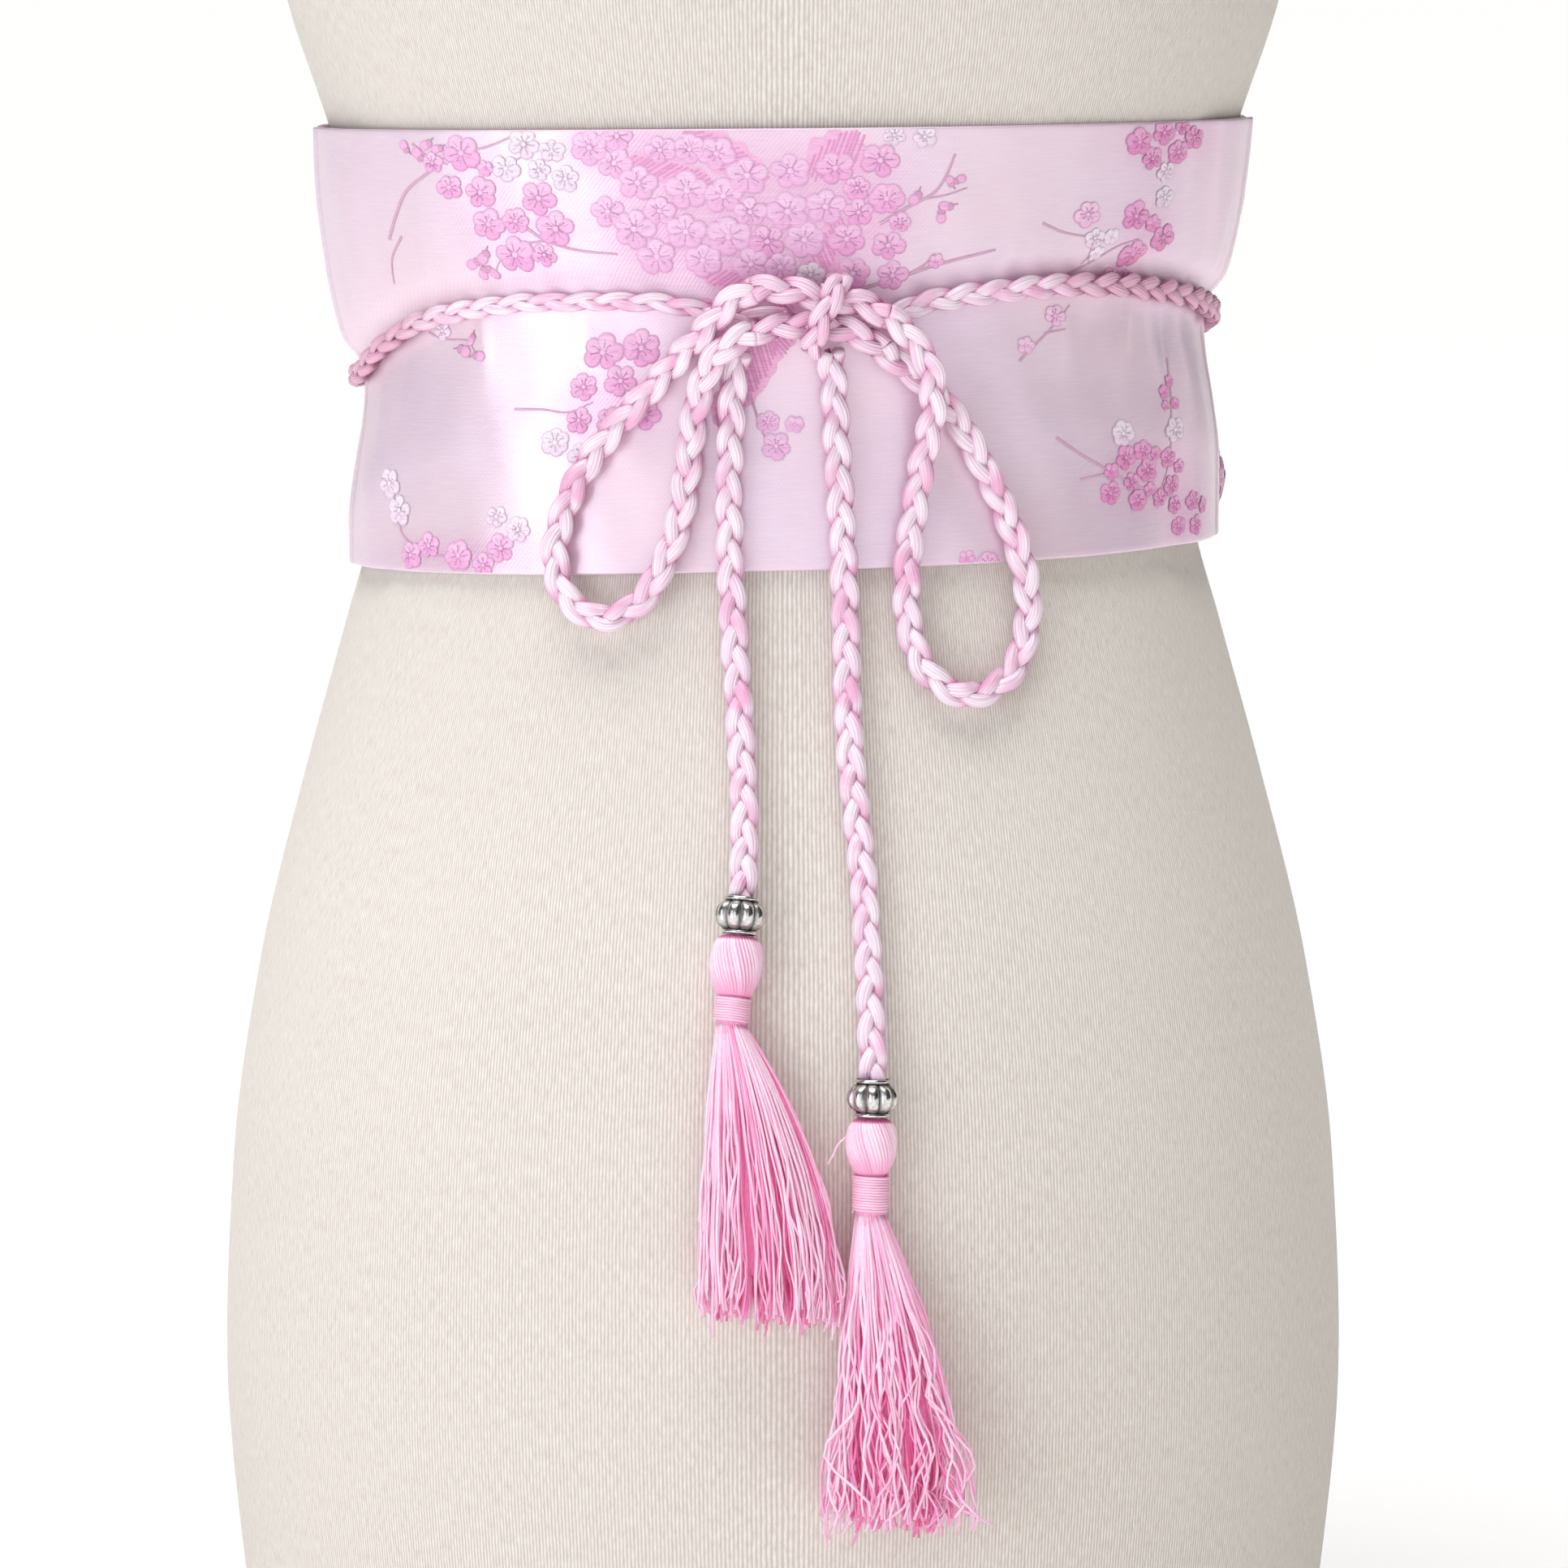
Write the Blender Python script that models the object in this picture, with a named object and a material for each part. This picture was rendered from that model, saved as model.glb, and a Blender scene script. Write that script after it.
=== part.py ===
"""A satin sash wound round a tailor's dress form and tied with a braided cord.

The form stands on its flat underside, centred on the origin, with the bow on its -Y side.
Angles run round the waist in degrees: 0 is the middle of the bow side (-Y), 90 is +X and 180 is the far side.
Heights are above the floor. Lengths are in metres, except in the routes and the tables of the knot, the beads
and the tassels, which are in millimetres. MM turns millimetres into metres.
"""

import math
from collections import namedtuple

import bmesh
import bpy
import numpy as np

MM = 0.001

# ---------------------------------------------------------------- driving dimensions

CLOTH = 1.4 * MM  # thickness of the doubled satin band
LAYER_GAP = 0.4 * MM  # between two layers of the band
SEAT_GAP = 0.3 * MM  # between pieces that rest on each other

BAND_LOWER = 0.3755  # height of the band's lower edge at the middle of the bow side
BAND_UPPER = 0.5045
LOWER_TILT = 0.0042  # the lower edge is this much higher at the +X side
UPPER_TILT = 0.0015

NEAR_HEMS = (-80.0, 83.0)  # angles of the two hems of the stretch on the bow side
FAR_ENDS = (68.0, 292.0)  # the far stretch runs on under both hems to these angles
LAP_EASE = 9.0  # degrees over which the near stretch settles from the far one onto the form

WAIST_CORD = 6.2 * MM  # width of the braid where it is pulled tight round the waist
BOW_CORD = 8.0 * MM  # and where it is slack, in the loops and tails
CORD_EASE = 0.6 * MM  # more room under the cord, for the band to rise beside it
KNOT_HOLD = 20 * MM  # the knot has the first and last of each loop, to this length
WRAP_CORD = 7.0 * MM  # width of the turn that ties the knot

BEAD_LOBES = 10
LOBE_POINTS = 3  # round each lobe
STRANDS = 60  # in each tassel
STRAND_RADIUS = 0.45 * MM
TASSEL_SIDES = 16

# The dress form, from its underside up. bow and bust are its depths on the -Y and +Y sides.
FormRow = namedtuple("FormRow", "height half_width bow bust squareness")
FORM = [
    FormRow(0.000, 0.1560, 0.1090, 0.1000, 2.20),
    FormRow(0.058, 0.1675, 0.1175, 0.1060, 2.22),
    FormRow(0.126, 0.1725, 0.1240, 0.1095, 2.24),
    FormRow(0.188, 0.1697, 0.1262, 0.1115, 2.26),
    FormRow(0.248, 0.1610, 0.1215, 0.1125, 2.28),
    FormRow(0.309, 0.1460, 0.1075, 0.1090, 2.30),
    FormRow(0.354, 0.1334, 0.0960, 0.1030, 2.32),
    FormRow(0.385, 0.1252, 0.0903, 0.0985, 2.34),
    FormRow(0.420, 0.1222, 0.0872, 0.0958, 2.34),
    FormRow(0.455, 0.1236, 0.0891, 0.0983, 2.34),
    FormRow(0.505, 0.1383, 0.0975, 0.1080, 2.34),
    FormRow(0.541, 0.1500, 0.1050, 0.1200, 2.32),
    FormRow(0.585, 0.1590, 0.1100, 0.1310, 2.30),
    FormRow(0.630, 0.1640, 0.1110, 0.1220, 2.30),
    FormRow(0.680, 0.1690, 0.1040, 0.1020, 2.30),
    FormRow(0.722, 0.1740, 0.0860, 0.0840, 2.30),
    FormRow(0.748, 0.1690, 0.0690, 0.0700, 2.25),
    FormRow(0.766, 0.1420, 0.0560, 0.0610, 2.20),
    FormRow(0.781, 0.1030, 0.0490, 0.0590, 2.10),
    FormRow(0.796, 0.0690, 0.0450, 0.0590, 2.05),
    FormRow(0.815, 0.0570, 0.0430, 0.0610, 2.00),
    FormRow(0.862, 0.0540, 0.0400, 0.0640, 2.00),
    FormRow(0.871, 0.0510, 0.0370, 0.0610, 2.00),
    FormRow(0.874, 0.0450, 0.0310, 0.0550, 2.00),
]

# The face of the band that lies on the form, by height above the cord that pinches it in.
BandRow = namedtuple("BandRow", "above_cord half_width bow far squareness")
BAND = [
    BandRow(-0.086, 0.1302, 0.0950, 0.1050, 2.34),
    BandRow(-0.076, 0.1300, 0.0931, 0.1040, 2.34),
    BandRow(-0.060, 0.1299, 0.0909, 0.1022, 2.34),
    BandRow(-0.044, 0.1300, 0.0895, 0.0998, 2.34),
    BandRow(-0.026, 0.1277, 0.0887, 0.0983, 2.34),
    BandRow(-0.013, 0.1256, 0.0894, 0.0976, 2.34),
    BandRow(-0.005, 0.1248, 0.0904, 0.0973, 2.34),
    BandRow(0.000, 0.1248, 0.0908, 0.0973, 2.34),
    BandRow(0.004, 0.1258, 0.0912, 0.0979, 2.34),
    BandRow(0.011, 0.1312, 0.0930, 0.0996, 2.34),
    BandRow(0.022, 0.1343, 0.0947, 0.1009, 2.34),
    BandRow(0.036, 0.1366, 0.0968, 0.1025, 2.34),
    BandRow(0.052, 0.1386, 0.0993, 0.1050, 2.34),
    BandRow(0.066, 0.1395, 0.1010, 0.1078, 2.34),
    BandRow(0.082, 0.1404, 0.1030, 0.1106, 2.34),
]

# Height of the cord round the waist, by angle.
CordRow = namedtuple("CordRow", "angle height")
WAIST_ROUTE = [
    CordRow(-180.0, 0.4275),
    CordRow(-130.0, 0.4265),
    CordRow(-95.0, 0.4265),
    CordRow(-76.0, 0.4295),
    CordRow(-65.0, 0.4385),
    CordRow(-55.0, 0.4460),
    CordRow(-45.0, 0.4500),
    CordRow(-30.0, 0.4535),
    CordRow(-15.0, 0.4540),
    CordRow(-5.0, 0.4505),
    CordRow(10.0, 0.4495),
    CordRow(16.0, 0.4540),
    CordRow(26.0, 0.4568),
    CordRow(36.0, 0.4582),
    CordRow(47.0, 0.4578),
    CordRow(58.0, 0.4556),
    CordRow(70.0, 0.4523),
    CordRow(80.0, 0.4486),
    CordRow(95.0, 0.4430),
    CordRow(130.0, 0.4335),
    CordRow(180.0, 0.4275),
]

WAIST_CORD_ENDS = (8.2, 360.3)  # the tight cord runs between these angles, the long way round

# Soft folds: each pushes one stretch of the band out, or in where push is negative.
Fold = namedtuple("Fold", "stretch angle height push angle_reach height_reach")
FOLDS = [
    Fold("far", 98.0, 0.481, 4.2 * MM, 9.0, 17 * MM),
    Fold("far", 99.0, 0.395, 6.2 * MM, 8.0, 13 * MM),
    Fold("far", 262.0, 0.382, 3.4 * MM, 9.0, 14 * MM),
    Fold("far", 264.0, 0.470, 1.4 * MM, 9.0, 20 * MM),
    Fold("far", 128.0, 0.474, 2.2 * MM, 7.0, 17 * MM),
    Fold("far", 139.0, 0.398, 1.8 * MM, 6.0, 13 * MM),
    Fold("far", 176.0, 0.402, 1.5 * MM, 8.0, 12 * MM),
    Fold("far", 221.0, 0.396, 2.0 * MM, 7.0, 14 * MM),
    Fold("far", 236.0, 0.472, 1.8 * MM, 7.0, 16 * MM),
    Fold("near", -66.0, 0.466, 0.8 * MM, 6.0, 22 * MM),
    Fold("near", -58.0, 0.410, 0.7 * MM, 6.0, 15 * MM),
    Fold("near", 58.0, 0.414, 0.9 * MM, 6.0, 14 * MM),
    Fold("near", 71.0, 0.420, 0.8 * MM, 4.0, 20 * MM),
    Fold("near", 72.0, 0.472, 0.9 * MM, 4.0, 22 * MM),
]

# The cord's own routes, each from the knot.
LOOP_LEFT = [
    (11, -103.4, 455.7), (1, -104.7, 458.2), (-8, -105.1, 458.2), (-14, -104.5, 455.6),
    (-18.7, -103.6, 450.8), (-24.2, -101.5, 444.4), (-30, -97.6, 438.3), (-39, -93.3, 428),
    (-49.7, -91.3, 416.6), (-58.6, -89.8, 404.6), (-64.3, -89.3, 392.2), (-66.7, -91, 379.6),
    (-63.4, -93.2, 367.8), (-53.3, -96.3, 361.8), (-42.6, -97.2, 366), (-35.5, -98.6, 376.7),
    (-30.7, -96.2, 388.5), (-28.1, -95, 402.6), (-26.4, -95, 416.8), (-24.2, -97.9, 428.4),
    (-21.1, -102.1, 436.2), (-15.7, -105, 442.2), (-8.2, -104.5, 445.9), (0, -103.2, 447.5),
    (11, -103, 448.4),
]
LOOP_RIGHT = [
    (11, -103.4, 455.7), (19, -103.6, 455), (26, -103.6, 452.7), (32.3, -103.3, 448.9),
    (37.9, -102.5, 443.3), (42.2, -101.5, 436.1), (43.6, -100.9, 427.4), (42.8, -98.9, 418.3),
    (40.7, -96.2, 407.4), (38.2, -95.4, 392), (36.3, -98.4, 376.7), (37, -98.2, 358.9),
    (42.9, -100.7, 345.6), (54.6, -100.2, 339.4), (66.1, -95.4, 345.1), (71.7, -90.6, 359.3),
    (70.5, -90.9, 376), (64.9, -89.3, 392.6), (57, -90.3, 408.9), (49.1, -91.4, 422),
    (39.6, -93.5, 431.9), (30.5, -98.4, 439.2), (22.4, -102.2, 445.1), (11, -103, 448.4),
]
TAIL_LEFT = [
    (-13.1, -96.2, 439), (-14.3, -95.3, 431), (-14.8, -95, 423.9), (-15.3, -95.3, 412.1),
    (-15.8, -95.9, 400.3), (-15.6, -96.9, 388.5), (-15.3, -98.4, 376.8), (-14.6, -99.4, 365),
    (-14.1, -101.9, 353.4), (-13.2, -104.7, 341.8), (-12.5, -107.7, 330.2), (-11.7, -110.7, 318.7),
    (-11.3, -114.3, 307.2), (-11.3, -118.4, 296.5),
]
TAIL_RIGHT = [
    (13.6, -97.6, 440), (14.5, -96, 432.3), (15.2, -95.2, 423.9),
    (15.9, -95.2, 412.1), (16.6, -95.9, 400.3), (17.3, -96.8, 388.5), (17.8, -98.3, 376.8),
    (18.3, -99.2, 362.6), (18.5, -102.3, 348.6), (19, -106, 334.8), (19.9, -109.9, 321),
    (21.3, -113.2, 307.1), (22.5, -115.9, 295.6), (23.6, -118.7, 284), (24.5, -122.1, 270.3),
    (25.2, -125.3, 256.4), (25.7, -128.2, 242.6),
]

# The turn that ties the knot goes once round the loops' ends.
WRAP = [
    (16.5, -103.4, 461.6), (15.2, -108, 458.6), (12, -109.9, 451.6), (9, -108.2, 443.8),
    (8, -103.4, 440.6), (8.8, -98.8, 443.4), (12, -97, 451), (15.4, -98.8, 458.6),
]
KNOT_HEART = (11.8, -102.6, 451)  # the rounded mass inside the turn
KNOT_HEART_SIZE = (9.5, 6.2, 9.0)  # half of each side

# A tassel hangs straight from the middle of its bead to the lower end of its binding, leaning by lean
# for each millimetre down. Its strands then spread to an oval about end.
TasselPlan = namedtuple(
    "TasselPlan", "side bead lean bulb_length bulb_radius binding end half_width half_depth"
)
TASSELS = [
    TasselPlan("left", (-12.3, -124.3, 278.2), (-0.088, -0.2), 17, 7.8, 8, (-5.2, -138, 162.5), 19, 8.5),
    TasselPlan("right", (25.9, -131.5, 225.9), (-0.02, -0.1), 15.6, 7.6, 11.5, (35.3, -136.8, 101.5), 18, 8.5),
]

# A bead's outline, along its axis from its middle. swell is how far its lobes stand out.
BeadRow = namedtuple("BeadRow", "along radius swell")
BEAD = [
    BeadRow(-5.4, 5.5, 0.0),
    BeadRow(-4.2, 5.8, 0.0),
    BeadRow(-3.7, 5.1, 0.2),
    BeadRow(-2.2, 5.8, 0.9),
    BeadRow(0.0, 6.1, 1.1),
    BeadRow(2.2, 5.8, 0.9),
    BeadRow(3.7, 5.1, 0.2),
    BeadRow(4.2, 5.8, 0.0),
    BeadRow(5.4, 5.5, 0.0),
]
BEAD_BORE = 4.35  # radius

# The bulb of a tassel, as shares of its length and of its radius.
BulbRow = namedtuple("BulbRow", "share radius_share")
BULB = [
    BulbRow(0.00, 0.54),
    BulbRow(0.05, 0.68),
    BulbRow(0.20, 0.88),
    BulbRow(0.45, 1.00),
    BulbRow(0.72, 0.98),
    BulbRow(0.92, 0.82),
    BulbRow(1.00, 0.66),
]
NECK_RADIUS = 5.0
BINDING_WALL = 0.6
ROOT_RADIUS = 6.2  # of the root under the neck, which the strands are fused into
ROOT_LENGTH = 3.5
ROOT_ROUNDING = 0.5
STRAND_SINK = 1.0  # how deep the strands start in the root
STRAND_INSET = 0.8  # how far inside the root's edge the outermost strands start
STRAND_SHARES = (0.0, 0.22, 0.58, 1.0)  # of a strand's length, where it has a ring of points
SPREAD_POWER = 0.65  # below 1, so that the strands part fast at first and then hang
STRAY = 0.9  # how far a strand's end may lie from its even place
UNEVEN_ENDS = 3.0  # how much longer or shorter a strand may be
BEAD_TO_BULB = 6.0  # from a bead's middle down to the top of the bulb
STRAIGHT_ABOVE_BEAD = 8.0  # the tail is straight from here, above the bead's middle, to the bulb

# ---------------------------------------------------------------- curves and surfaces


def column(table, name):
    return np.array([getattr(row, name) for row in table])


def slopes(x, y):
    """Slopes for a smooth curve through the points that never overshoots them."""
    step = np.diff(x)
    rise = np.diff(y) / step
    slope = np.empty(len(x))
    slope[0], slope[-1] = rise[0], rise[-1]
    for i in range(1, len(x) - 1):
        if rise[i - 1] * rise[i] <= 0:
            slope[i] = 0.0
        else:
            before, after = 2 * step[i] + step[i - 1], step[i] + 2 * step[i - 1]
            slope[i] = (before + after) / (before / rise[i - 1] + after / rise[i])
    return slope


def between(t, width, start, start_slope, end, end_slope):
    """The cubic that leaves start and reaches end at these slopes, a share t of the way over width."""
    return (
        (2 * t**3 - 3 * t**2 + 1) * start
        + (t**3 - 2 * t**2 + t) * width * start_slope
        + (3 * t**2 - 2 * t**3) * end
        + (t**3 - t**2) * width * end_slope
    )


def smooth(x, y, at):
    """The smooth curve through the points (x, y), read at one place."""
    slope = slopes(x, y)
    i = int(np.clip(np.searchsorted(x, at) - 1, 0, len(x) - 2))
    width = x[i + 1] - x[i]
    t = min(max((at - x[i]) / width, 0.0), 1.0)
    return between(t, width, y[i], slope[i], y[i + 1], slope[i + 1])


def read_row(table, key, at):
    """Every other column of a table, read smoothly where its key column has this value."""
    keys = column(table, key)
    return [smooth(keys, column(table, name), at) for name in table[0]._fields if name != key]


def ease(t):
    t = min(max(t, 0.0), 1.0)
    return t * t * (3 - 2 * t)


def turned(angle):
    """The angle in degrees from -180 to 180."""
    return (angle + 180.0) % 360.0 - 180.0


def power(value, exponent):
    return math.copysign(abs(value) ** exponent, value)


def oval_point(angle, half_width, bow, far, squareness, out=0.0):
    """A point of a rounded, slightly squared oval, moved out along its normal by out."""
    s, c = math.sin(math.radians(angle)), math.cos(math.radians(angle))
    depth = bow if c > 0 else far
    x = half_width * power(s, 2 / squareness)
    y = -depth * power(c, 2 / squareness)
    nx = power(x / half_width, squareness - 1) / half_width
    ny = power(y / depth, squareness - 1) / depth
    length = math.hypot(nx, ny)
    return x + out * nx / length, y + out * ny / length


def form_point(angle, height):
    half_width, bow, bust, squareness = read_row(FORM, "height", height)
    return (*oval_point(angle, half_width, bow, bust, squareness), height)


def cord_height(angle):
    return read_row(WAIST_ROUTE, "angle", turned(angle))[0]


def band_edges(angle):
    """Heights of the band's lower and upper edge."""
    side = math.sin(math.radians(angle))
    return BAND_LOWER + LOWER_TILT * side, BAND_UPPER + UPPER_TILT * side


def fold_push(stretch, angle, height):
    push = 0.0
    for fold in FOLDS:
        if fold.stretch == stretch:
            across = turned(angle - fold.angle) / fold.angle_reach
            up = (height - fold.height) / fold.height_reach
            push += fold.push * math.exp(-across * across - up * up)
    return push


def lap(angle):
    """1 where the near stretch lies on the far one, 0 where it lies on the form."""
    a = turned(angle)
    inner_end = FAR_ENDS[0] if a > 0 else 360.0 - FAR_ENDS[1]
    return ease((abs(a) - inner_end + LAP_EASE) / LAP_EASE)


def band_point(stretch, angle, height, out):
    """A point of one stretch of the band, out from the face that lies on the form."""
    out += fold_push(stretch, angle, height)
    if stretch == "near":
        out += (CLOTH + LAYER_GAP + fold_push("far", angle, height)) * lap(angle)
    half_width, bow, far, squareness = read_row(BAND, "above_cord", height - cord_height(angle))
    return (*oval_point(angle, half_width, bow, far, squareness, out), height)


def curve_through(route):
    """Closely spaced points on the smooth curve through a route given in millimetres."""
    points = np.array(route) * MM
    at = np.concatenate([[0.0], np.cumsum(np.linalg.norm(np.diff(points, axis=0), axis=1))])
    pull = np.gradient(points, at, axis=0)
    close = [points[0]]
    for i in range(len(points) - 1):
        for t in np.linspace(0.1, 1.0, 10):
            close.append(between(t, at[i + 1] - at[i], points[i], pull[i], points[i + 1], pull[i + 1]))
    return np.array(close)


def stretch_of(curve, start, end, spacing):
    """Points about this far apart along a curve, from start to end; end may count back from its end."""
    at = np.concatenate([[0.0], np.cumsum(np.linalg.norm(np.diff(curve, axis=0), axis=1))])
    if end <= 0:
        end += at[-1]
    wanted = np.linspace(start, end, max(2, round((end - start) / spacing) + 1))
    wanted = np.sort([*wanted, start + SQUARE_END, end - SQUARE_END])
    return np.stack([np.interp(wanted, at, curve[:, axis]) for axis in range(3)], axis=1)


def waist_route(count):
    """The tight cord's middle line over the band, from one side of the knot round to the other."""
    start, end = WAIST_CORD_ENDS
    points = []
    for angle in np.linspace(start, end, count):
        height = cord_height(angle)
        half_width, bow, far, squareness = read_row(BAND, "above_cord", 0.0)
        past_hem = abs(turned(angle)) - (NEAR_HEMS[1] if turned(angle) > 0 else -NEAR_HEMS[0])
        over_lap = lap(angle) * (1 - ease(past_hem / LAP_EASE))
        out = CLOTH + SEAT_GAP + WAIST_CORD / 2 + CORD_EASE + over_lap * (CLOTH + LAYER_GAP)
        points.append((*oval_point(angle, half_width, bow, far, squareness, out), height))
    return np.array(points)


# ---------------------------------------------------------------- making objects


def material(name, colour, roughness, metallic=0.0, sheen=0.0):
    made = bpy.data.materials.new(name)
    made.use_nodes = True
    shader = made.node_tree.nodes["Principled BSDF"]
    shader.inputs["Base Color"].default_value = (*colour, 1.0)
    shader.inputs["Roughness"].default_value = roughness
    shader.inputs["Metallic"].default_value = metallic
    shader.inputs["Sheen Weight"].default_value = sheen
    made.diffuse_color = (*colour, 1.0)
    return made


def add_object(name, mesh_data, finish):
    made = bpy.data.objects.new(name, mesh_data)
    bpy.context.scene.collection.objects.link(made)
    mesh_data.materials.append(finish)
    return made


def mesh_object(name, points, faces, finish, sharp=40.0):
    """One object from points and faces, with its faces turned outwards."""
    mesh = bpy.data.meshes.new(name)
    mesh.from_pydata([tuple(p) for p in points], [], faces)
    bm = bmesh.new()
    bm.from_mesh(mesh)
    bmesh.ops.remove_doubles(bm, verts=bm.verts, dist=1e-6)
    bmesh.ops.recalc_face_normals(bm, faces=bm.faces)
    bm.to_mesh(mesh)
    bm.free()
    mesh.shade_smooth()
    mesh.set_sharp_from_angle(angle=math.radians(sharp))
    return add_object(name, mesh, finish)


def stacked_rings(rings):
    """Points and faces of a solid through closed rings, capped at both ends."""
    count = len(rings[0])
    points = [p for ring in rings for p in ring]
    faces = [tuple(reversed(range(count)))]
    for r in range(len(rings) - 1):
        for i in range(count):
            j = (i + 1) % count
            a, b = r * count, (r + 1) * count
            faces.append((a + i, a + j, b + j, b + i))
    last = (len(rings) - 1) * count
    faces.append(tuple(range(last, last + count)))
    return points, faces


def wall(name, point, columns, rows, finish):
    """A cloth wall over a grid: point(column, row, face) gives a point, with face 0 inside and 1 outside."""
    points = []
    for face in (0, 1):
        for c in range(columns + 1):
            for r in range(rows + 1):
                points.append(point(c, r, face))
    side = (columns + 1) * (rows + 1)

    def at(c, r, face):
        return face * side + c * (rows + 1) + r

    faces = []
    for c in range(columns):
        for r in range(rows):
            faces.append((at(c, r, 1), at(c + 1, r, 1), at(c + 1, r + 1, 1), at(c, r + 1, 1)))
            faces.append((at(c, r, 0), at(c, r + 1, 0), at(c + 1, r + 1, 0), at(c + 1, r, 0)))
    for c in range(columns):
        faces.append((at(c, 0, 0), at(c + 1, 0, 0), at(c + 1, 0, 1), at(c, 0, 1)))
        faces.append((at(c, rows, 0), at(c, rows, 1), at(c + 1, rows, 1), at(c + 1, rows, 0)))
    for r in range(rows):
        faces.append((at(0, r, 0), at(0, r, 1), at(0, r + 1, 1), at(0, r + 1, 0)))
        faces.append((at(columns, r, 0), at(columns, r + 1, 0), at(columns, r + 1, 1), at(columns, r, 1)))
    return mesh_object(name, points, faces, finish)


# ---------------------------------------------------------------- the dress form

FORM_SEGMENTS = 42
TALLEST_STEP = 0.045  # taller steps between rows get a ring halfway


def dress_form(finish):
    heights = []
    for low, high in zip(FORM, FORM[1:]):
        parts = 2 if high.height - low.height > TALLEST_STEP else 1
        heights += [low.height + (high.height - low.height) * i / parts for i in range(parts)]
    heights.append(FORM[-1].height)
    rings = [
        [form_point(360.0 * i / FORM_SEGMENTS, height) for i in range(FORM_SEGMENTS)]
        for height in heights
    ]
    points, faces = stacked_rings(rings)
    return mesh_object("dress_form", points, faces, finish, sharp=60.0)


# ---------------------------------------------------------------- the band

DEGREES_PER_COLUMN = 4.8
# The rows of the wall, as shares of the way down or up from the cord, closer where it pinches.
SHARES_BELOW = (1.0, 0.78, 0.55, 0.33, 0.16, 0.06)
SHARES_ABOVE = (0.0, 0.08, 0.22, 0.45, 0.72, 1.0)


def band_stretch(name, stretch, start, end, finish):
    columns = math.ceil((end - start) / DEGREES_PER_COLUMN)

    def point(column, row, face):
        angle = start + (end - start) * column / columns
        lower, upper = band_edges(angle)
        cord = cord_height(angle)
        below, above = SHARES_BELOW, SHARES_ABOVE
        if row < len(below):
            height = cord - (cord - lower) * below[row]
        else:
            height = cord + (upper - cord) * above[row - len(below)]
        return band_point(stretch, angle, height, face * CLOTH)

    return wall(name, point, columns, len(SHARES_BELOW) + len(SHARES_ABOVE) - 1, finish)


# ---------------------------------------------------------------- the cord

BRAID_SPACING = 16 * MM  # between a tube's points
SQUARE_END = 1.0 * MM  # a tube is straight for this far at each end, so that its ends are square
BEVEL_STEPS = 2  # which gives a tube 8 sides
WAIST_POINTS = 52


def tube(name, points, width, finish, closed=False):
    """A plain round tube along some points."""
    data = bpy.data.curves.new(name, "CURVE")
    data.dimensions = "3D"
    data.bevel_depth = width / 2
    data.bevel_resolution = BEVEL_STEPS
    data.use_fill_caps = not closed
    line = data.splines.new("POLY")
    line.points.add(len(points) - 1)
    for place, point in zip(line.points, points):
        place.co = (*point, 1.0)
    line.use_cyclic_u = closed
    line.use_smooth = True
    return add_object(name, data, finish)


def as_mesh(made):
    """The same piece as a mesh object, so that a Boolean can use it."""
    name, finish = made.name, made.data.materials[0]
    bpy.context.view_layer.update()
    evaluated = made.evaluated_get(bpy.context.evaluated_depsgraph_get())
    mesh = bpy.data.meshes.new_from_object(evaluated)
    bpy.data.objects.remove(made)
    mesh.materials.clear()
    return add_object(name, mesh, finish)


def join_into(base, others):
    """A Boolean union of some pieces into one, which keeps its name."""
    for other in others:
        other.hide_render = True
        other.display_type = "WIRE"
        union = base.modifiers.new(other.name, "BOOLEAN")
        union.operation = "UNION"
        union.solver = "EXACT"
        union.object = other


def waist_cord(finish):
    return tube("cord_waist", waist_route(WAIST_POINTS), WAIST_CORD, finish)


def bow_loop(name, route, finish):
    points = stretch_of(curve_through(route), KNOT_HOLD + SEAT_GAP, -KNOT_HOLD - SEAT_GAP, BRAID_SPACING)
    return tube(name, points, BOW_CORD, finish)


def knot(finish):
    """The loops' ends passing through one turn of cord, with a rounded mass between them."""
    ends = []
    for name, route in (("left", LOOP_LEFT), ("right", LOOP_RIGHT)):
        curve = curve_through(route)
        for place, line in (("upper", curve), ("lower", curve[::-1])):
            points = stretch_of(line, 0.0, KNOT_HOLD, KNOT_HOLD / 4)
            ends.append(as_mesh(tube(f"knot_{place}_{name}", points, BOW_CORD, finish)))
    turn = as_mesh(tube("knot_turn", np.array(WRAP) * MM, WRAP_CORD, finish, closed=True))
    heart = bpy.data.meshes.new("knot")
    bm = bmesh.new()
    bmesh.ops.create_uvsphere(bm, u_segments=14, v_segments=9, radius=1.0)
    bmesh.ops.scale(bm, verts=bm.verts, vec=[side * MM for side in KNOT_HEART_SIZE])
    bmesh.ops.translate(bm, verts=bm.verts, vec=[side * MM for side in KNOT_HEART])
    bm.to_mesh(heart)
    bm.free()
    heart.shade_smooth()
    made = add_object("knot", heart, finish)
    join_into(made, [*ends, turn])
    return made


# ---------------------------------------------------------------- beads and tassels


def hang_frame(plan):
    """The way a tassel hangs, with two directions square to it."""
    down = np.array([*plan.lean, -1.0])
    down /= np.linalg.norm(down)
    across = np.cross(down, (0.0, 1.0, 0.0))
    across /= np.linalg.norm(across)
    return down, across, np.cross(across, down)


def ring_on(plan, along, radius, angles):
    """Points round a tassel's axis, at a distance along it from its bead's middle."""
    down, across, outwards = hang_frame(plan)
    centre = np.array(plan.bead) + down * along
    radii = np.broadcast_to(radius, (len(angles),))
    return [
        tuple(MM * (centre + r * (math.cos(a) * across + math.sin(a) * outwards)))
        for r, a in zip(radii, angles)
    ]


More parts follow.
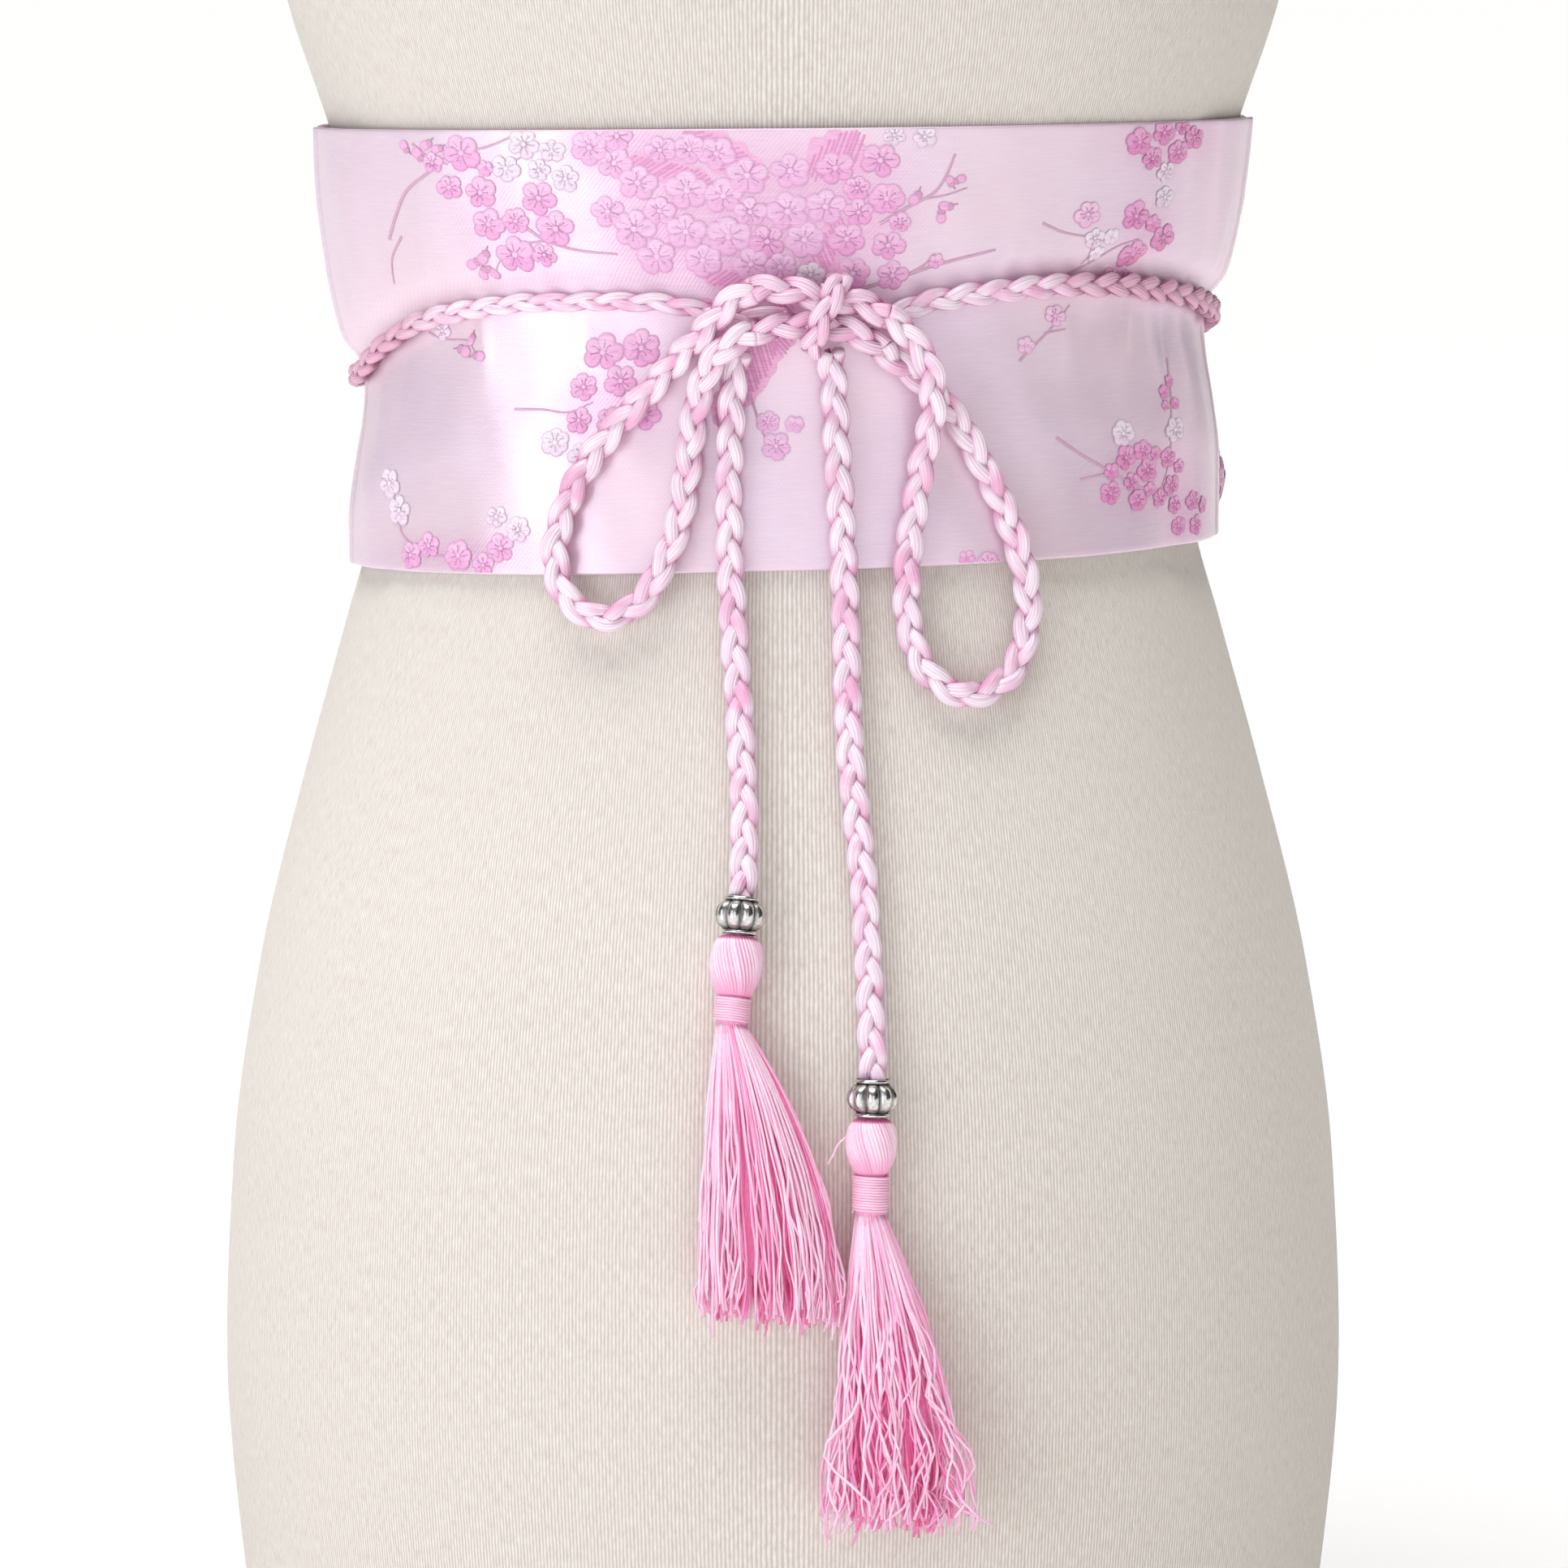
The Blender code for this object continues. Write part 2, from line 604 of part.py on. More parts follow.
def turned_shell(name, plan, outer, inner, angles, finish):
    """A turned piece with a hole: rings down its outside and back up its bore."""
    rings = [ring_on(plan, along, radius, angles) for along, radius in outer]
    rings += [ring_on(plan, along, radius, angles) for along, radius in inner]
    count = len(angles)
    faces = []
    for r in range(len(rings)):
        a, b = r * count, (r + 1) % len(rings) * count
        for i in range(count):
            j = (i + 1) % count
            faces.append((a + i, a + j, b + j, b + i))
    return mesh_object(name, [p for ring in rings for p in ring], faces, finish)


def circle_angles(count):
    return [2 * math.pi * i / count for i in range(count)]


def bead(plan, finish):
    angles = circle_angles(BEAD_LOBES * LOBE_POINTS)
    lobe = np.array([abs(math.sin(BEAD_LOBES * a / 2)) for a in angles])
    outer = [(row.along, row.radius + row.swell * lobe) for row in BEAD]
    inner = [(BEAD[-1].along, BEAD_BORE), (BEAD[0].along, BEAD_BORE)]
    return turned_shell(f"bead_{plan.side}", plan, outer, inner, angles, finish)


def neck_top(plan):
    return BEAD_TO_BULB + plan.bulb_length


def binding(plan, finish):
    """The thread wound round the neck under the bulb."""
    top = neck_top(plan) + SEAT_GAP / MM
    bottom = top + plan.binding
    inside = NECK_RADIUS + SEAT_GAP / MM
    outside = inside + BINDING_WALL
    angles = circle_angles(TASSEL_SIDES)
    outer, inner = [(top, outside), (bottom, outside)], [(bottom, inside), (top, inside)]
    return turned_shell(f"binding_{plan.side}", plan, outer, inner, angles, finish)


def root_top(plan):
    return neck_top(plan) + plan.binding + 2 * SEAT_GAP / MM


def strand_places():
    """Places in a unit disc, evenly spread along a golden-angle spiral."""
    turn = math.pi * (3 - math.sqrt(5))
    places = []
    for i in range(STRANDS):
        radius = math.sqrt((i + 0.5) / STRANDS)
        places.append((radius * math.cos(i * turn), radius * math.sin(i * turn)))
    return places


def strand(plan, place, index):
    """Rings of one three-sided strand, from inside the root to the skirt's end."""
    down, across, outwards = hang_frame(plan)
    root = np.array(plan.bead) + down * (root_top(plan) + ROOT_LENGTH - STRAND_SINK)
    start = ROOT_RADIUS - STRAND_INSET
    # uneven but repeatable, from the strand's number
    stray = STRAY * np.array([math.sin(2.4 * index), 0.5 * math.cos(3.7 * index), 0.0])
    stray[2] = UNEVEN_ENDS * math.sin(5.1 * index)
    rings = []
    for share in STRAND_SHARES:
        spread = share**SPREAD_POWER
        aside = place[0] * (start + (plan.half_width - start) * spread)
        away = place[1] * (start + (plan.half_depth - start) * spread)
        centre = root + (np.array(plan.end) - root) * np.array([spread, spread, share])
        centre += aside * across + away * outwards + share * stray
        ring = []
        for a in circle_angles(3):
            corner = math.cos(a) * across + math.sin(a) * outwards
            ring.append(tuple(centre * MM + corner * STRAND_RADIUS))
        rings.append(ring)
    return rings


def tassel(plan, finish):
    """A bulb, a neck and a root, with the strands fused into the root."""
    rows = [(BEAD_TO_BULB + row.share * plan.bulb_length, row.radius_share * plan.bulb_radius) for row in BULB]
    root_end = root_top(plan) + ROOT_LENGTH
    rows += [
        (neck_top(plan) + SEAT_GAP / MM / 2, NECK_RADIUS),
        (root_top(plan) - SEAT_GAP / MM / 2, NECK_RADIUS),
        (root_top(plan) + ROOT_ROUNDING, ROOT_RADIUS - ROOT_ROUNDING / 2),
        (root_end - ROOT_ROUNDING, ROOT_RADIUS),
        (root_end, ROOT_RADIUS - ROOT_ROUNDING / 2),
    ]
    angles = circle_angles(TASSEL_SIDES)
    head_points, head_faces = stacked_rings([ring_on(plan, *row, angles) for row in rows])
    made = mesh_object(f"tassel_{plan.side}", head_points, head_faces, finish)
    points, faces = [], []
    for index, place in enumerate(strand_places()):
        strand_points, strand_faces = stacked_rings(strand(plan, place, index))
        faces += [tuple(len(points) + i for i in face) for face in strand_faces]
        points += strand_points
    join_into(made, [mesh_object(f"skirt_{plan.side}", points, faces, finish)])
    return made


def tail(plan, route, finish):
    """A tail of the bow, straight through its bead to the top of its tassel."""
    down = hang_frame(plan)[0]
    middle = np.array(plan.bead)
    above_bead = middle - down * STRAIGHT_ABOVE_BEAD
    end = middle + down * (BEAD_TO_BULB - SEAT_GAP / MM)
    loose = stretch_of(curve_through([*route, tuple(above_bead)]), 0.0, 0.0, BRAID_SPACING)
    points = [*loose, end * MM]
    return tube(f"tail_{plan.side}", points, BOW_CORD, finish)


# ---------------------------------------------------------------- scene

for old in list(bpy.data.objects):
    bpy.data.objects.remove(old)

linen = material("linen jersey", (0.70, 0.64, 0.56), 0.9)
satin = material("brocade satin", (0.89, 0.66, 0.78), 0.35, sheen=0.3)
rayon = material("braided rayon cord", (0.87, 0.47, 0.62), 0.4, sheen=0.2)
silver = material("cast antique silver", (0.52, 0.51, 0.50), 0.35, metallic=1.0)

dress_form(linen)
band_stretch("sash_near", "near", *NEAR_HEMS, satin)
band_stretch("sash_far", "far", *FAR_ENDS, satin)
waist_cord(rayon)
knot(rayon)
bow_loop("loop_left", LOOP_LEFT, rayon)
bow_loop("loop_right", LOOP_RIGHT, rayon)
for tassel_plan, tail_route in zip(TASSELS, (TAIL_LEFT, TAIL_RIGHT)):
    tail(tassel_plan, tail_route, rayon)
    bead(tassel_plan, silver)
    binding(tassel_plan, rayon)
    tassel(tassel_plan, rayon)
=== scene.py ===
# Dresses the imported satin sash: smooth cloth with its woven blossoms, a braided cord, beads and tassels.
# Angles run round the waist in degrees: 0 is the middle of the bow side (-Y), 90 is +X, 180 is the far side.
# Lengths are in metres. Routes, beads, tassels and the woven pattern are laid out in millimetres.
import math

import bmesh
import bpy
import numpy as np
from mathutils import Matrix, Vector


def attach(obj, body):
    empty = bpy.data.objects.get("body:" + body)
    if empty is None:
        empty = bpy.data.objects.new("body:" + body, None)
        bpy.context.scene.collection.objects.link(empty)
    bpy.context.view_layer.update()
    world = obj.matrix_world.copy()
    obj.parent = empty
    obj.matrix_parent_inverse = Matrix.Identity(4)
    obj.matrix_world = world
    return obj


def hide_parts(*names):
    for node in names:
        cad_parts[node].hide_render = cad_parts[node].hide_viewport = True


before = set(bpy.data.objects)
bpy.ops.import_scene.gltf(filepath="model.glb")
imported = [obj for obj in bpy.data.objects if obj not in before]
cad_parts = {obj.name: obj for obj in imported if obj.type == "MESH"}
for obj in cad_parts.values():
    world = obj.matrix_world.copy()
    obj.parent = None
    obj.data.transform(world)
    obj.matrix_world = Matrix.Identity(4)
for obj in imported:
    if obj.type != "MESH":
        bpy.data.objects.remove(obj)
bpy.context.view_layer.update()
mm = 0.001
fullTurn = 2 * math.pi


def linkNew(name, data):
    made = bpy.data.objects.new(name, data)
    bpy.context.scene.collection.objects.link(made)
    return made


def aimAt(made, target):
    made.rotation_euler = (Vector(target) - Vector(made.location)).to_track_quat("-Z", "Y").to_euler()


# ---- camera

camera = dict(place=(0.0003, -1.985, 0.55), target=(0.0003, 0.0, 0.301), lens=149.07, sensor=36.0)


def addCamera():
    data = bpy.data.cameras.new("camera")
    data.lens = camera["lens"]
    data.sensor_width = camera["sensor"]
    data.clip_start, data.clip_end = 0.05, 400.0
    made = linkNew("camera", data)
    made.location = camera["place"]
    aimAt(made, camera["target"])
    bpy.context.scene.camera = made


addCamera()

# ---- curves


def slopes(x, y):  # slopes for a smooth curve through the points that never overshoots them
    step = np.diff(x)
    rise = np.diff(y) / step
    slope = np.empty(len(x))
    slope[0], slope[-1] = rise[0], rise[-1]
    for i in range(1, len(x) - 1):
        if rise[i - 1] * rise[i] <= 0:
            slope[i] = 0.0
        else:
            before, after = 2 * step[i] + step[i - 1], step[i] + 2 * step[i - 1]
            slope[i] = (before + after) / (before / rise[i - 1] + after / rise[i])
    return slope


def between(t, width, start, startSlope, end, endSlope):
    return (
        (2 * t**3 - 3 * t**2 + 1) * start
        + (t**3 - 2 * t**2 + t) * width * startSlope
        + (3 * t**2 - 2 * t**3) * end
        + (t**3 - t**2) * width * endSlope
    )


def smooth(x, y, at):  # the smooth curve through (x, y), read at every value of at
    x, y, at = np.asarray(x, float), np.asarray(y, float), np.asarray(at, float)
    slope = slopes(x, y)
    i = np.clip(np.searchsorted(x, at) - 1, 0, len(x) - 2)
    width = x[i + 1] - x[i]
    t = np.clip((at - x[i]) / width, 0.0, 1.0)
    return between(t, width, y[i], slope[i], y[i + 1], slope[i + 1])


def readTable(rows, at):  # smooth curves through all columns but the first, read at values of the first
    table = np.array(rows)
    return [smooth(table[:, 0], table[:, i], at) for i in range(1, table.shape[1])]


def ease(t):
    t = np.clip(t, 0.0, 1.0)
    return t * t * (3 - 2 * t)


def softSpot(x, y):  # 1 in the middle and near 0 two lengths away
    return np.exp(-(x**2) - y**2)


def turned(angle):
    return (np.asarray(angle, float) + 180.0) % 360.0 - 180.0


def power(value, exponent):
    return np.sign(value) * np.abs(value) ** exponent


def unit(vectors):
    return vectors / np.maximum(np.linalg.norm(vectors, axis=-1, keepdims=True), 1e-12)


def squareTo(direction, forward):  # what is left of a direction square to forward
    return unit(direction - forward * (direction * forward).sum(1, keepdims=True))


def circle(count):
    return np.arange(count) * fullTurn / count


def lengthAlong(points):
    return np.concatenate([[0.0], np.cumsum(np.linalg.norm(np.diff(points, axis=0), axis=1))])


def curveThrough(route):  # closely spaced points on the smooth curve through a route in millimetres
    points = np.array(route, float) * mm
    at = lengthAlong(points)
    pull = np.gradient(points, at, axis=0)
    close = [points[0]]
    for i in range(len(points) - 1):
        for t in np.linspace(0.1, 1.0, 10):
            close.append(between(t, at[i + 1] - at[i], points[i], pull[i], points[i + 1], pull[i + 1]))
    return np.array(close)


def resampled(points, step, start=0.0, end=None):
    at = lengthAlong(points)
    end = at[-1] if end is None else end
    wanted = np.linspace(start, end, max(2, int(round((end - start) / step)) + 1))
    return np.stack([np.interp(wanted, at, points[:, axis]) for axis in range(3)], axis=1), wanted


def softened(points, count):  # the smooth curve through a few points, as count evenly spaced ones
    at = lengthAlong(points)
    wanted = np.linspace(0, at[-1], count)
    return np.stack([smooth(at, points[:, k], wanted) for k in range(points.shape[1])], axis=1)


def ovalPoints(angle, halfWidth, bow, far, squareness, out=0.0):
    s, c = np.sin(np.radians(angle)), np.cos(np.radians(angle))
    depth = np.where(c > 0, bow, far)
    x = halfWidth * power(s, 2 / squareness)
    y = -depth * power(c, 2 / squareness)
    nx = power(x / halfWidth, squareness - 1) / halfWidth
    ny = power(y / depth, squareness - 1) / depth
    length = np.hypot(nx, ny)
    return x + out * nx / length, y + out * ny / length


# ---- materials


def linear(hexColour):  # sRGB hex to the linear colour that the sockets take
    parts = [int(hexColour[i : i + 2], 16) / 255 for i in (1, 3, 5)]
    return (*[p / 12.92 if p <= 0.04045 else ((p + 0.055) / 1.055) ** 2.4 for p in parts], 1.0)


def flatColour(hexColour):
    return np.array(linear(hexColour)[:3])


def addNode(tree, kind, inputs=None, **settings):  # inputs: socket name or number -> a value or a socket
    made = tree.nodes.new("ShaderNode" + kind)
    for name, value in settings.items():
        setattr(made, name, value)
    for socket, value in (inputs or {}).items():
        if isinstance(value, bpy.types.NodeSocket):
            tree.links.new(value, made.inputs[socket])
        else:
            made.inputs[socket].default_value = value
    return made


def newMaterial(name, **sockets):
    made = bpy.data.materials.new(name)
    made.use_nodes = True
    shader = made.node_tree.nodes["Principled BSDF"]
    for socket, value in sockets.items():
        shader.inputs[socket.replace("_", " ")].default_value = value
    return made, made.node_tree, shader


def uvPlace(tree):
    return addNode(tree, "UVMap", uv_map="metres").outputs[0]


def objectPlace(tree):
    return addNode(tree, "TexCoord").outputs["Object"]


def tintNode(tree):
    return addNode(tree, "Attribute", attribute_name="tint")


def stretched(tree, place, scale, lean=0):  # scale: repeats a metre along u and v
    turn = (0, 0, math.radians(lean))
    return addNode(tree, "Mapping", {0: place, "Scale": scale, "Rotation": turn}).outputs[0]


def noise(tree, place, scale, detail=2.0, **more):
    return addNode(tree, "TexNoise", {"Vector": place, "Scale": scale, "Detail": detail, **more}).outputs[0]


def remap(tree, value, low, high, start=0.0, end=1.0, **settings):
    return addNode(tree, "MapRange", {0: value, 1: low, 2: high, 3: start, 4: end}, **settings).outputs[0]


def maths(tree, operation, first, second):
    return addNode(tree, "Math", {0: first, 1: second}, operation=operation).outputs[0]


def mixColours(tree, factor, first, second):  # each a hex colour or a socket
    first, second = (linear(c) if isinstance(c, str) else c for c in (first, second))
    return addNode(tree, "Mix", {0: factor, 6: first, 7: second}, data_type="RGBA").outputs[2]


def finishSurface(tree, shader, tone, relief, strength, deep, threads=False):  # deep: in millimetres
    if tone is not None:
        tree.links.new(tone, shader.inputs["Base Color"])
    bump = addNode(tree, "Bump", {"Strength": strength, "Distance": deep * mm, "Height": relief})
    tree.links.new(bump.outputs[0], shader.inputs["Normal"])
    if threads:  # the sheen follows the threads along u
        tangent = addNode(tree, "Tangent", direction_type="UV_MAP", uv_map="metres")
        tree.links.new(tangent.outputs[0], shader.inputs["Tangent"])


# ---- mesh making


def addPiece(name, mesh, material, replaced=()):
    mesh.materials.append(material)
    made = linkNew(name, mesh)
    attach(made, "root")
    if replaced:
        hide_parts(*replaced)
    return made


def grid(points, along=None, round=None, tint=None, capped=False):
    rows, columns = points.shape[:2]
    along = np.arange(rows, dtype=float) if along is None else along
    round = np.arange(columns + 1, dtype=float) if round is None else round
    return dict(points=points, along=along, round=round, tint=tint, capped=capped)


def meshOfGrids(name, grids, tinted=False):  # one mesh from many tubes of points, with a UV map in metres
    points, faces, corners, tints = [], [], [], []
    caps, count = [], 0
    for g in grids:
        rows, columns = g["points"].shape[:2]
        r, c = (k.ravel() for k in np.meshgrid(np.arange(rows - 1), np.arange(columns), indexing="ij"))
        low, high, after = r * columns, (r + 1) * columns, (c + 1) % columns
        faces.append(count + np.stack([low + c, low + after, high + after, high + c], 1))
        u, v = g["along"], g["round"]
        sides = [u[r], v[c], u[r], v[c + 1], u[r + 1], v[c + 1], u[r + 1], v[c]]
        corners.append(np.stack(sides, 1).reshape(-1, 2))
        if g["capped"]:
            caps.append(tuple(count + columns - 1 - np.arange(columns)))
            caps.append(tuple(count + (rows - 1) * columns + np.arange(columns)))
        points.append(g["points"].reshape(-1, 3))
        if tinted:
            tints.append(np.broadcast_to(g["tint"], (rows, columns, 3)).reshape(-1, 3))
        count += rows * columns
    faces, corners = np.concatenate(faces), np.concatenate(corners)
    mesh = bpy.data.meshes.new(name)
    mesh.from_pydata(np.concatenate(points), [], [*map(tuple, faces.tolist()), *caps])
    layer = mesh.uv_layers.new(name="metres")
    flat = np.zeros((len(mesh.loops), 2), np.float32)
    flat[: len(corners)] = corners
    layer.data.foreach_set("uv", flat.ravel())
    if tinted:
        colour = mesh.color_attributes.new("tint", "FLOAT_COLOR", "POINT")
        full = np.ones((count, 4), np.float32)
        full[:, :3] = np.concatenate(tints)
        colour.data.foreach_set("color", full.ravel())
    mesh.update()
    mesh.shade_smooth()
    return mesh


# ---- the braided cord
# three strands of rayon yarn plaited flat: a strand runs out over the front and back in behind

braid = dict(
    width=8.0 * mm,
    pitch=31.0 * mm,  # one strand's way over and back, three crossings on each side
    swing=0.288,  # share of the width that a strand's middle swings to either side
    lift=0.175,  # share of the width that a strand's middle rises and dips
    strandWidth=0.242,  # half a strand's width and depth, as shares of the braid's
    strandDepth=0.20,
    wider=0.15,  # how much wider and flatter a strand is on top
    flatter=0.10,
    yarns=12,
    pointsPerYarn=3,
    yarnTurns=0.9,  # in a pitch
    groove=0.18,
    grooveSharpness=2.2,
    step=1.0 * mm,
    uneven=0.05,
    unevenTurn=0.12,
    unevenEvery=9 * mm,
)


def braidGrids(line, outward, seed, width=None, pitch=None, start=0.0, end=None, phase=0.0, step=None):
    middle, at = resampled(line, step or braid["step"], start, end)
    widths, pitches = (
        np.broadcast_to(given(at) if callable(given) else given, at.shape)
        for given in (width or braid["width"], pitch or braid["pitch"])
    )
    turns = phase + np.concatenate([[0.0], np.cumsum(np.diff(at) / ((pitches[1:] + pitches[:-1]) / 2))])
    forward = unit(np.gradient(middle, at, axis=0))
    away = squareTo(outward(middle), forward)
    across = np.cross(forward, away)
    draw = np.random.default_rng(seed)
    knots = np.linspace(0, at[-1] + 1e-6, max(4, int((at[-1] - at[0]) / braid["unevenEvery"])))
    around = braid["yarns"] * braid["pointsPerYarn"]
    psi = circle(around)

    def drift(size):
        return size * np.interp(at, knots, draw.uniform(-1, 1, len(knots)))

    grids = []
    for i in range(3):
        wander = 1 + drift(braid["uneven"])
        fat = 1 + drift(braid["uneven"])
        theta = fullTurn * (turns + i / 3) + drift(braid["unevenTurn"])
        swing = (widths * braid["swing"] * wander * np.sin(theta))[:, None]
        centre = middle + across * swing + away * (widths * braid["lift"] * np.sin(2 * theta))[:, None]
        along = unit(np.gradient(centre, at, axis=0))
        top = squareTo(away, along)
        side = np.cross(along, top)
        twist = fullTurn * (braid["yarnTurns"] * turns + draw.uniform())
        hollow = 0.5 - 0.5 * np.cos(braid["yarns"] * (psi[None, :] + twist[:, None] / braid["yarns"]))
        hollow = hollow ** braid["grooveSharpness"]
        scallop = 1 - braid["groove"] * hollow
        onTop = np.sin(2 * theta)
        halfWidth = widths * braid["strandWidth"] * fat * (1 + braid["wider"] * onTop)
        halfDepth = widths * braid["strandDepth"] * fat * (1 - braid["flatter"] * onTop)
        ring = (
            centre[:, None, :]
            + side[:, None, :] * (halfWidth[:, None] * scallop * np.cos(psi)[None, :])[:, :, None]
            + top[:, None, :] * (halfDepth[:, None] * scallop * np.sin(psi)[None, :])[:, :, None]
        )
        # painted shade, 1 in the hollows: between yarns, between two strands, and where one dips under the
        # next
        inside = (np.cos(theta) ** 2)[:, None]
        depth = 0.2 * hollow + 0.7 * np.abs(np.cos(psi))[None, :] ** 12 * inside
        depth = depth + np.clip(0.15 - onTop, 0, 1)[:, None] * (0.1 + 0.9 * inside)
        depth = np.clip(depth, 0, 1)
        tint = np.stack([depth, np.zeros_like(depth), np.zeros_like(depth)], axis=2)
        girth = math.pi * float(np.mean(halfWidth + halfDepth))
        round = np.arange(around + 1) * girth / around
        grids.append(grid(ring, along=at + i * 0.37, round=round, tint=tint, capped=True))
    return grids, middle


def rayonThread():
    # Filament rayon, plaited slack: pearly and nearly white where it turns to the light, with painted shade
    # in pink and dark mauve in its hollows.
    # The tint's red is the depth in a hollow, its green the share of painted shade round the waist cord's
    # sides.
    made, tree, shader = newMaterial(
        "plaited filament rayon", Roughness=0.34, Anisotropic=0.5, IOR=1.52, Specular_IOR_Level=0.8,
        Sheen_Weight=0.3, Sheen_Roughness=0.35,
    )
    thread = dict(light="#FFFAFE", body="#FEEDF7", blush="#F2A0CA", line="#EDBAD8")
    # painted shade colours: for the braid's hollows and crevices, and for the waist cord's darker sides
    shade = dict(hollow="#E7A0C6", crevice="#A04F7A", pulled="#ECAFC9", shadedSideDeep="#7E2449")
    place = uvPlace(tree)
    # filaments run along u, 0.6 mm apart, drawn coarser than the real ones so that they show
    fibres = noise(tree, stretched(tree, place, (70.0, 1700.0, 1.0)), 1.0, Roughness=0.6)
    slow = noise(tree, place, 85.0, 1.0)
    toneOffSides = mixColours(tree, remap(tree, slow, 0.38, 0.66), thread["light"], thread["body"])
    toneOffSides = mixColours(tree, remap(tree, slow, 0.53, 0.68, 0.0, 0.8), toneOffSides, thread["blush"])
    toneOffSides = mixColours(tree, remap(tree, fibres, 0.34, 0.56, 0.7, 0.0), toneOffSides, thread["line"])
    deep, sideShadeShare = addNode(tree, "SeparateColor", {0: tintNode(tree).outputs["Color"]}).outputs[:2]
    # painted shade: deeper in the hollows, darker round the waist cord's sides
    toneOffSides = mixColours(tree, remap(tree, deep, 0.0, 0.5), toneOffSides, shade["hollow"])
    toneOffSides = mixColours(tree, remap(tree, deep, 0.5, 0.95), toneOffSides, shade["crevice"])
    sideShadeTone = mixColours(tree, remap(tree, deep, 0.0, 0.55), shade["pulled"], shade["shadedSideDeep"])
    finishSurface(tree, shader, mixColours(tree, sideShadeShare, toneOffSides, sideShadeTone), fibres, 0.4, 0.14, threads=True)
    return made


rayon = rayonThread()

# ---- where the band lies

# heights of the tight cord round the waist, by angle
waistRoute = [
    (-180, 0.4275), (-130, 0.4265), (-95, 0.4265), (-76, 0.4295), (-65, 0.4385), (-55, 0.4460), (-45, 0.4500),
    (-30, 0.4535), (-15, 0.4540), (-5, 0.4505), (10, 0.4495), (16, 0.4540), (26, 0.4568), (36, 0.4582),
    (47, 0.4578), (58, 0.4556), (70, 0.4523), (80, 0.4486), (95, 0.4430), (130, 0.4335), (180, 0.4275),
]

# the band's inner face by height above that cord: half width, depth on the bow side, depth on the far side
bandRows = [
    (-0.086, 0.1302, 0.0950, 0.1050), (-0.076, 0.1300, 0.0931, 0.1040), (-0.060, 0.1299, 0.0909, 0.1022),
    (-0.044, 0.1300, 0.0895, 0.0998), (-0.026, 0.1277, 0.0887, 0.0983), (-0.013, 0.1256, 0.0894, 0.0976),
    (-0.005, 0.1248, 0.0904, 0.0973), (0.000, 0.1248, 0.0908, 0.0973), (0.004, 0.1258, 0.0912, 0.0979),
    (0.011, 0.1312, 0.0930, 0.0996), (0.022, 0.1343, 0.0947, 0.1009), (0.036, 0.1366, 0.0968, 0.1025),
    (0.052, 0.1386, 0.0993, 0.1050), (0.066, 0.1395, 0.1010, 0.1078), (0.082, 0.1404, 0.1030, 0.1106),
]

sash = dict(
    cloth=1.4 * mm,
    layerGap=0.4 * mm,
    lower=0.3755,
    upper=0.5045,
    lowerTilt=0.0042,
    upperTilt=0.0015,
    squareness=2.34,
    nearHems=(-80.0, 83.0),
    farEnds=(68.0, 292.0),
    lapEase=9.0,
)

# soft folds of the solids: stretch, angle, height, push, reach in degrees, reach in height
folds = [
    ("far", 98.0, 0.481, 4.2, 9.0, 17), ("far", 99.0, 0.395, 6.2, 8.0, 13),
    ("far", 262.0, 0.382, 3.4, 9.0, 14), ("far", 264.0, 0.470, 1.4, 9.0, 20),
    ("far", 128.0, 0.474, 2.2, 7.0, 17), ("far", 139.0, 0.398, 1.8, 6.0, 13),
    ("far", 176.0, 0.402, 1.5, 8.0, 12), ("far", 221.0, 0.396, 2.0, 7.0, 14),
    ("far", 236.0, 0.472, 1.8, 7.0, 16), ("near", -66.0, 0.466, 0.8, 6.0, 22),
    ("near", -58.0, 0.410, 0.7, 6.0, 15), ("near", 58.0, 0.414, 0.9, 6.0, 14),
    ("near", 71.0, 0.420, 0.8, 4.0, 20), ("near", 72.0, 0.472, 0.9, 4.0, 22),
]

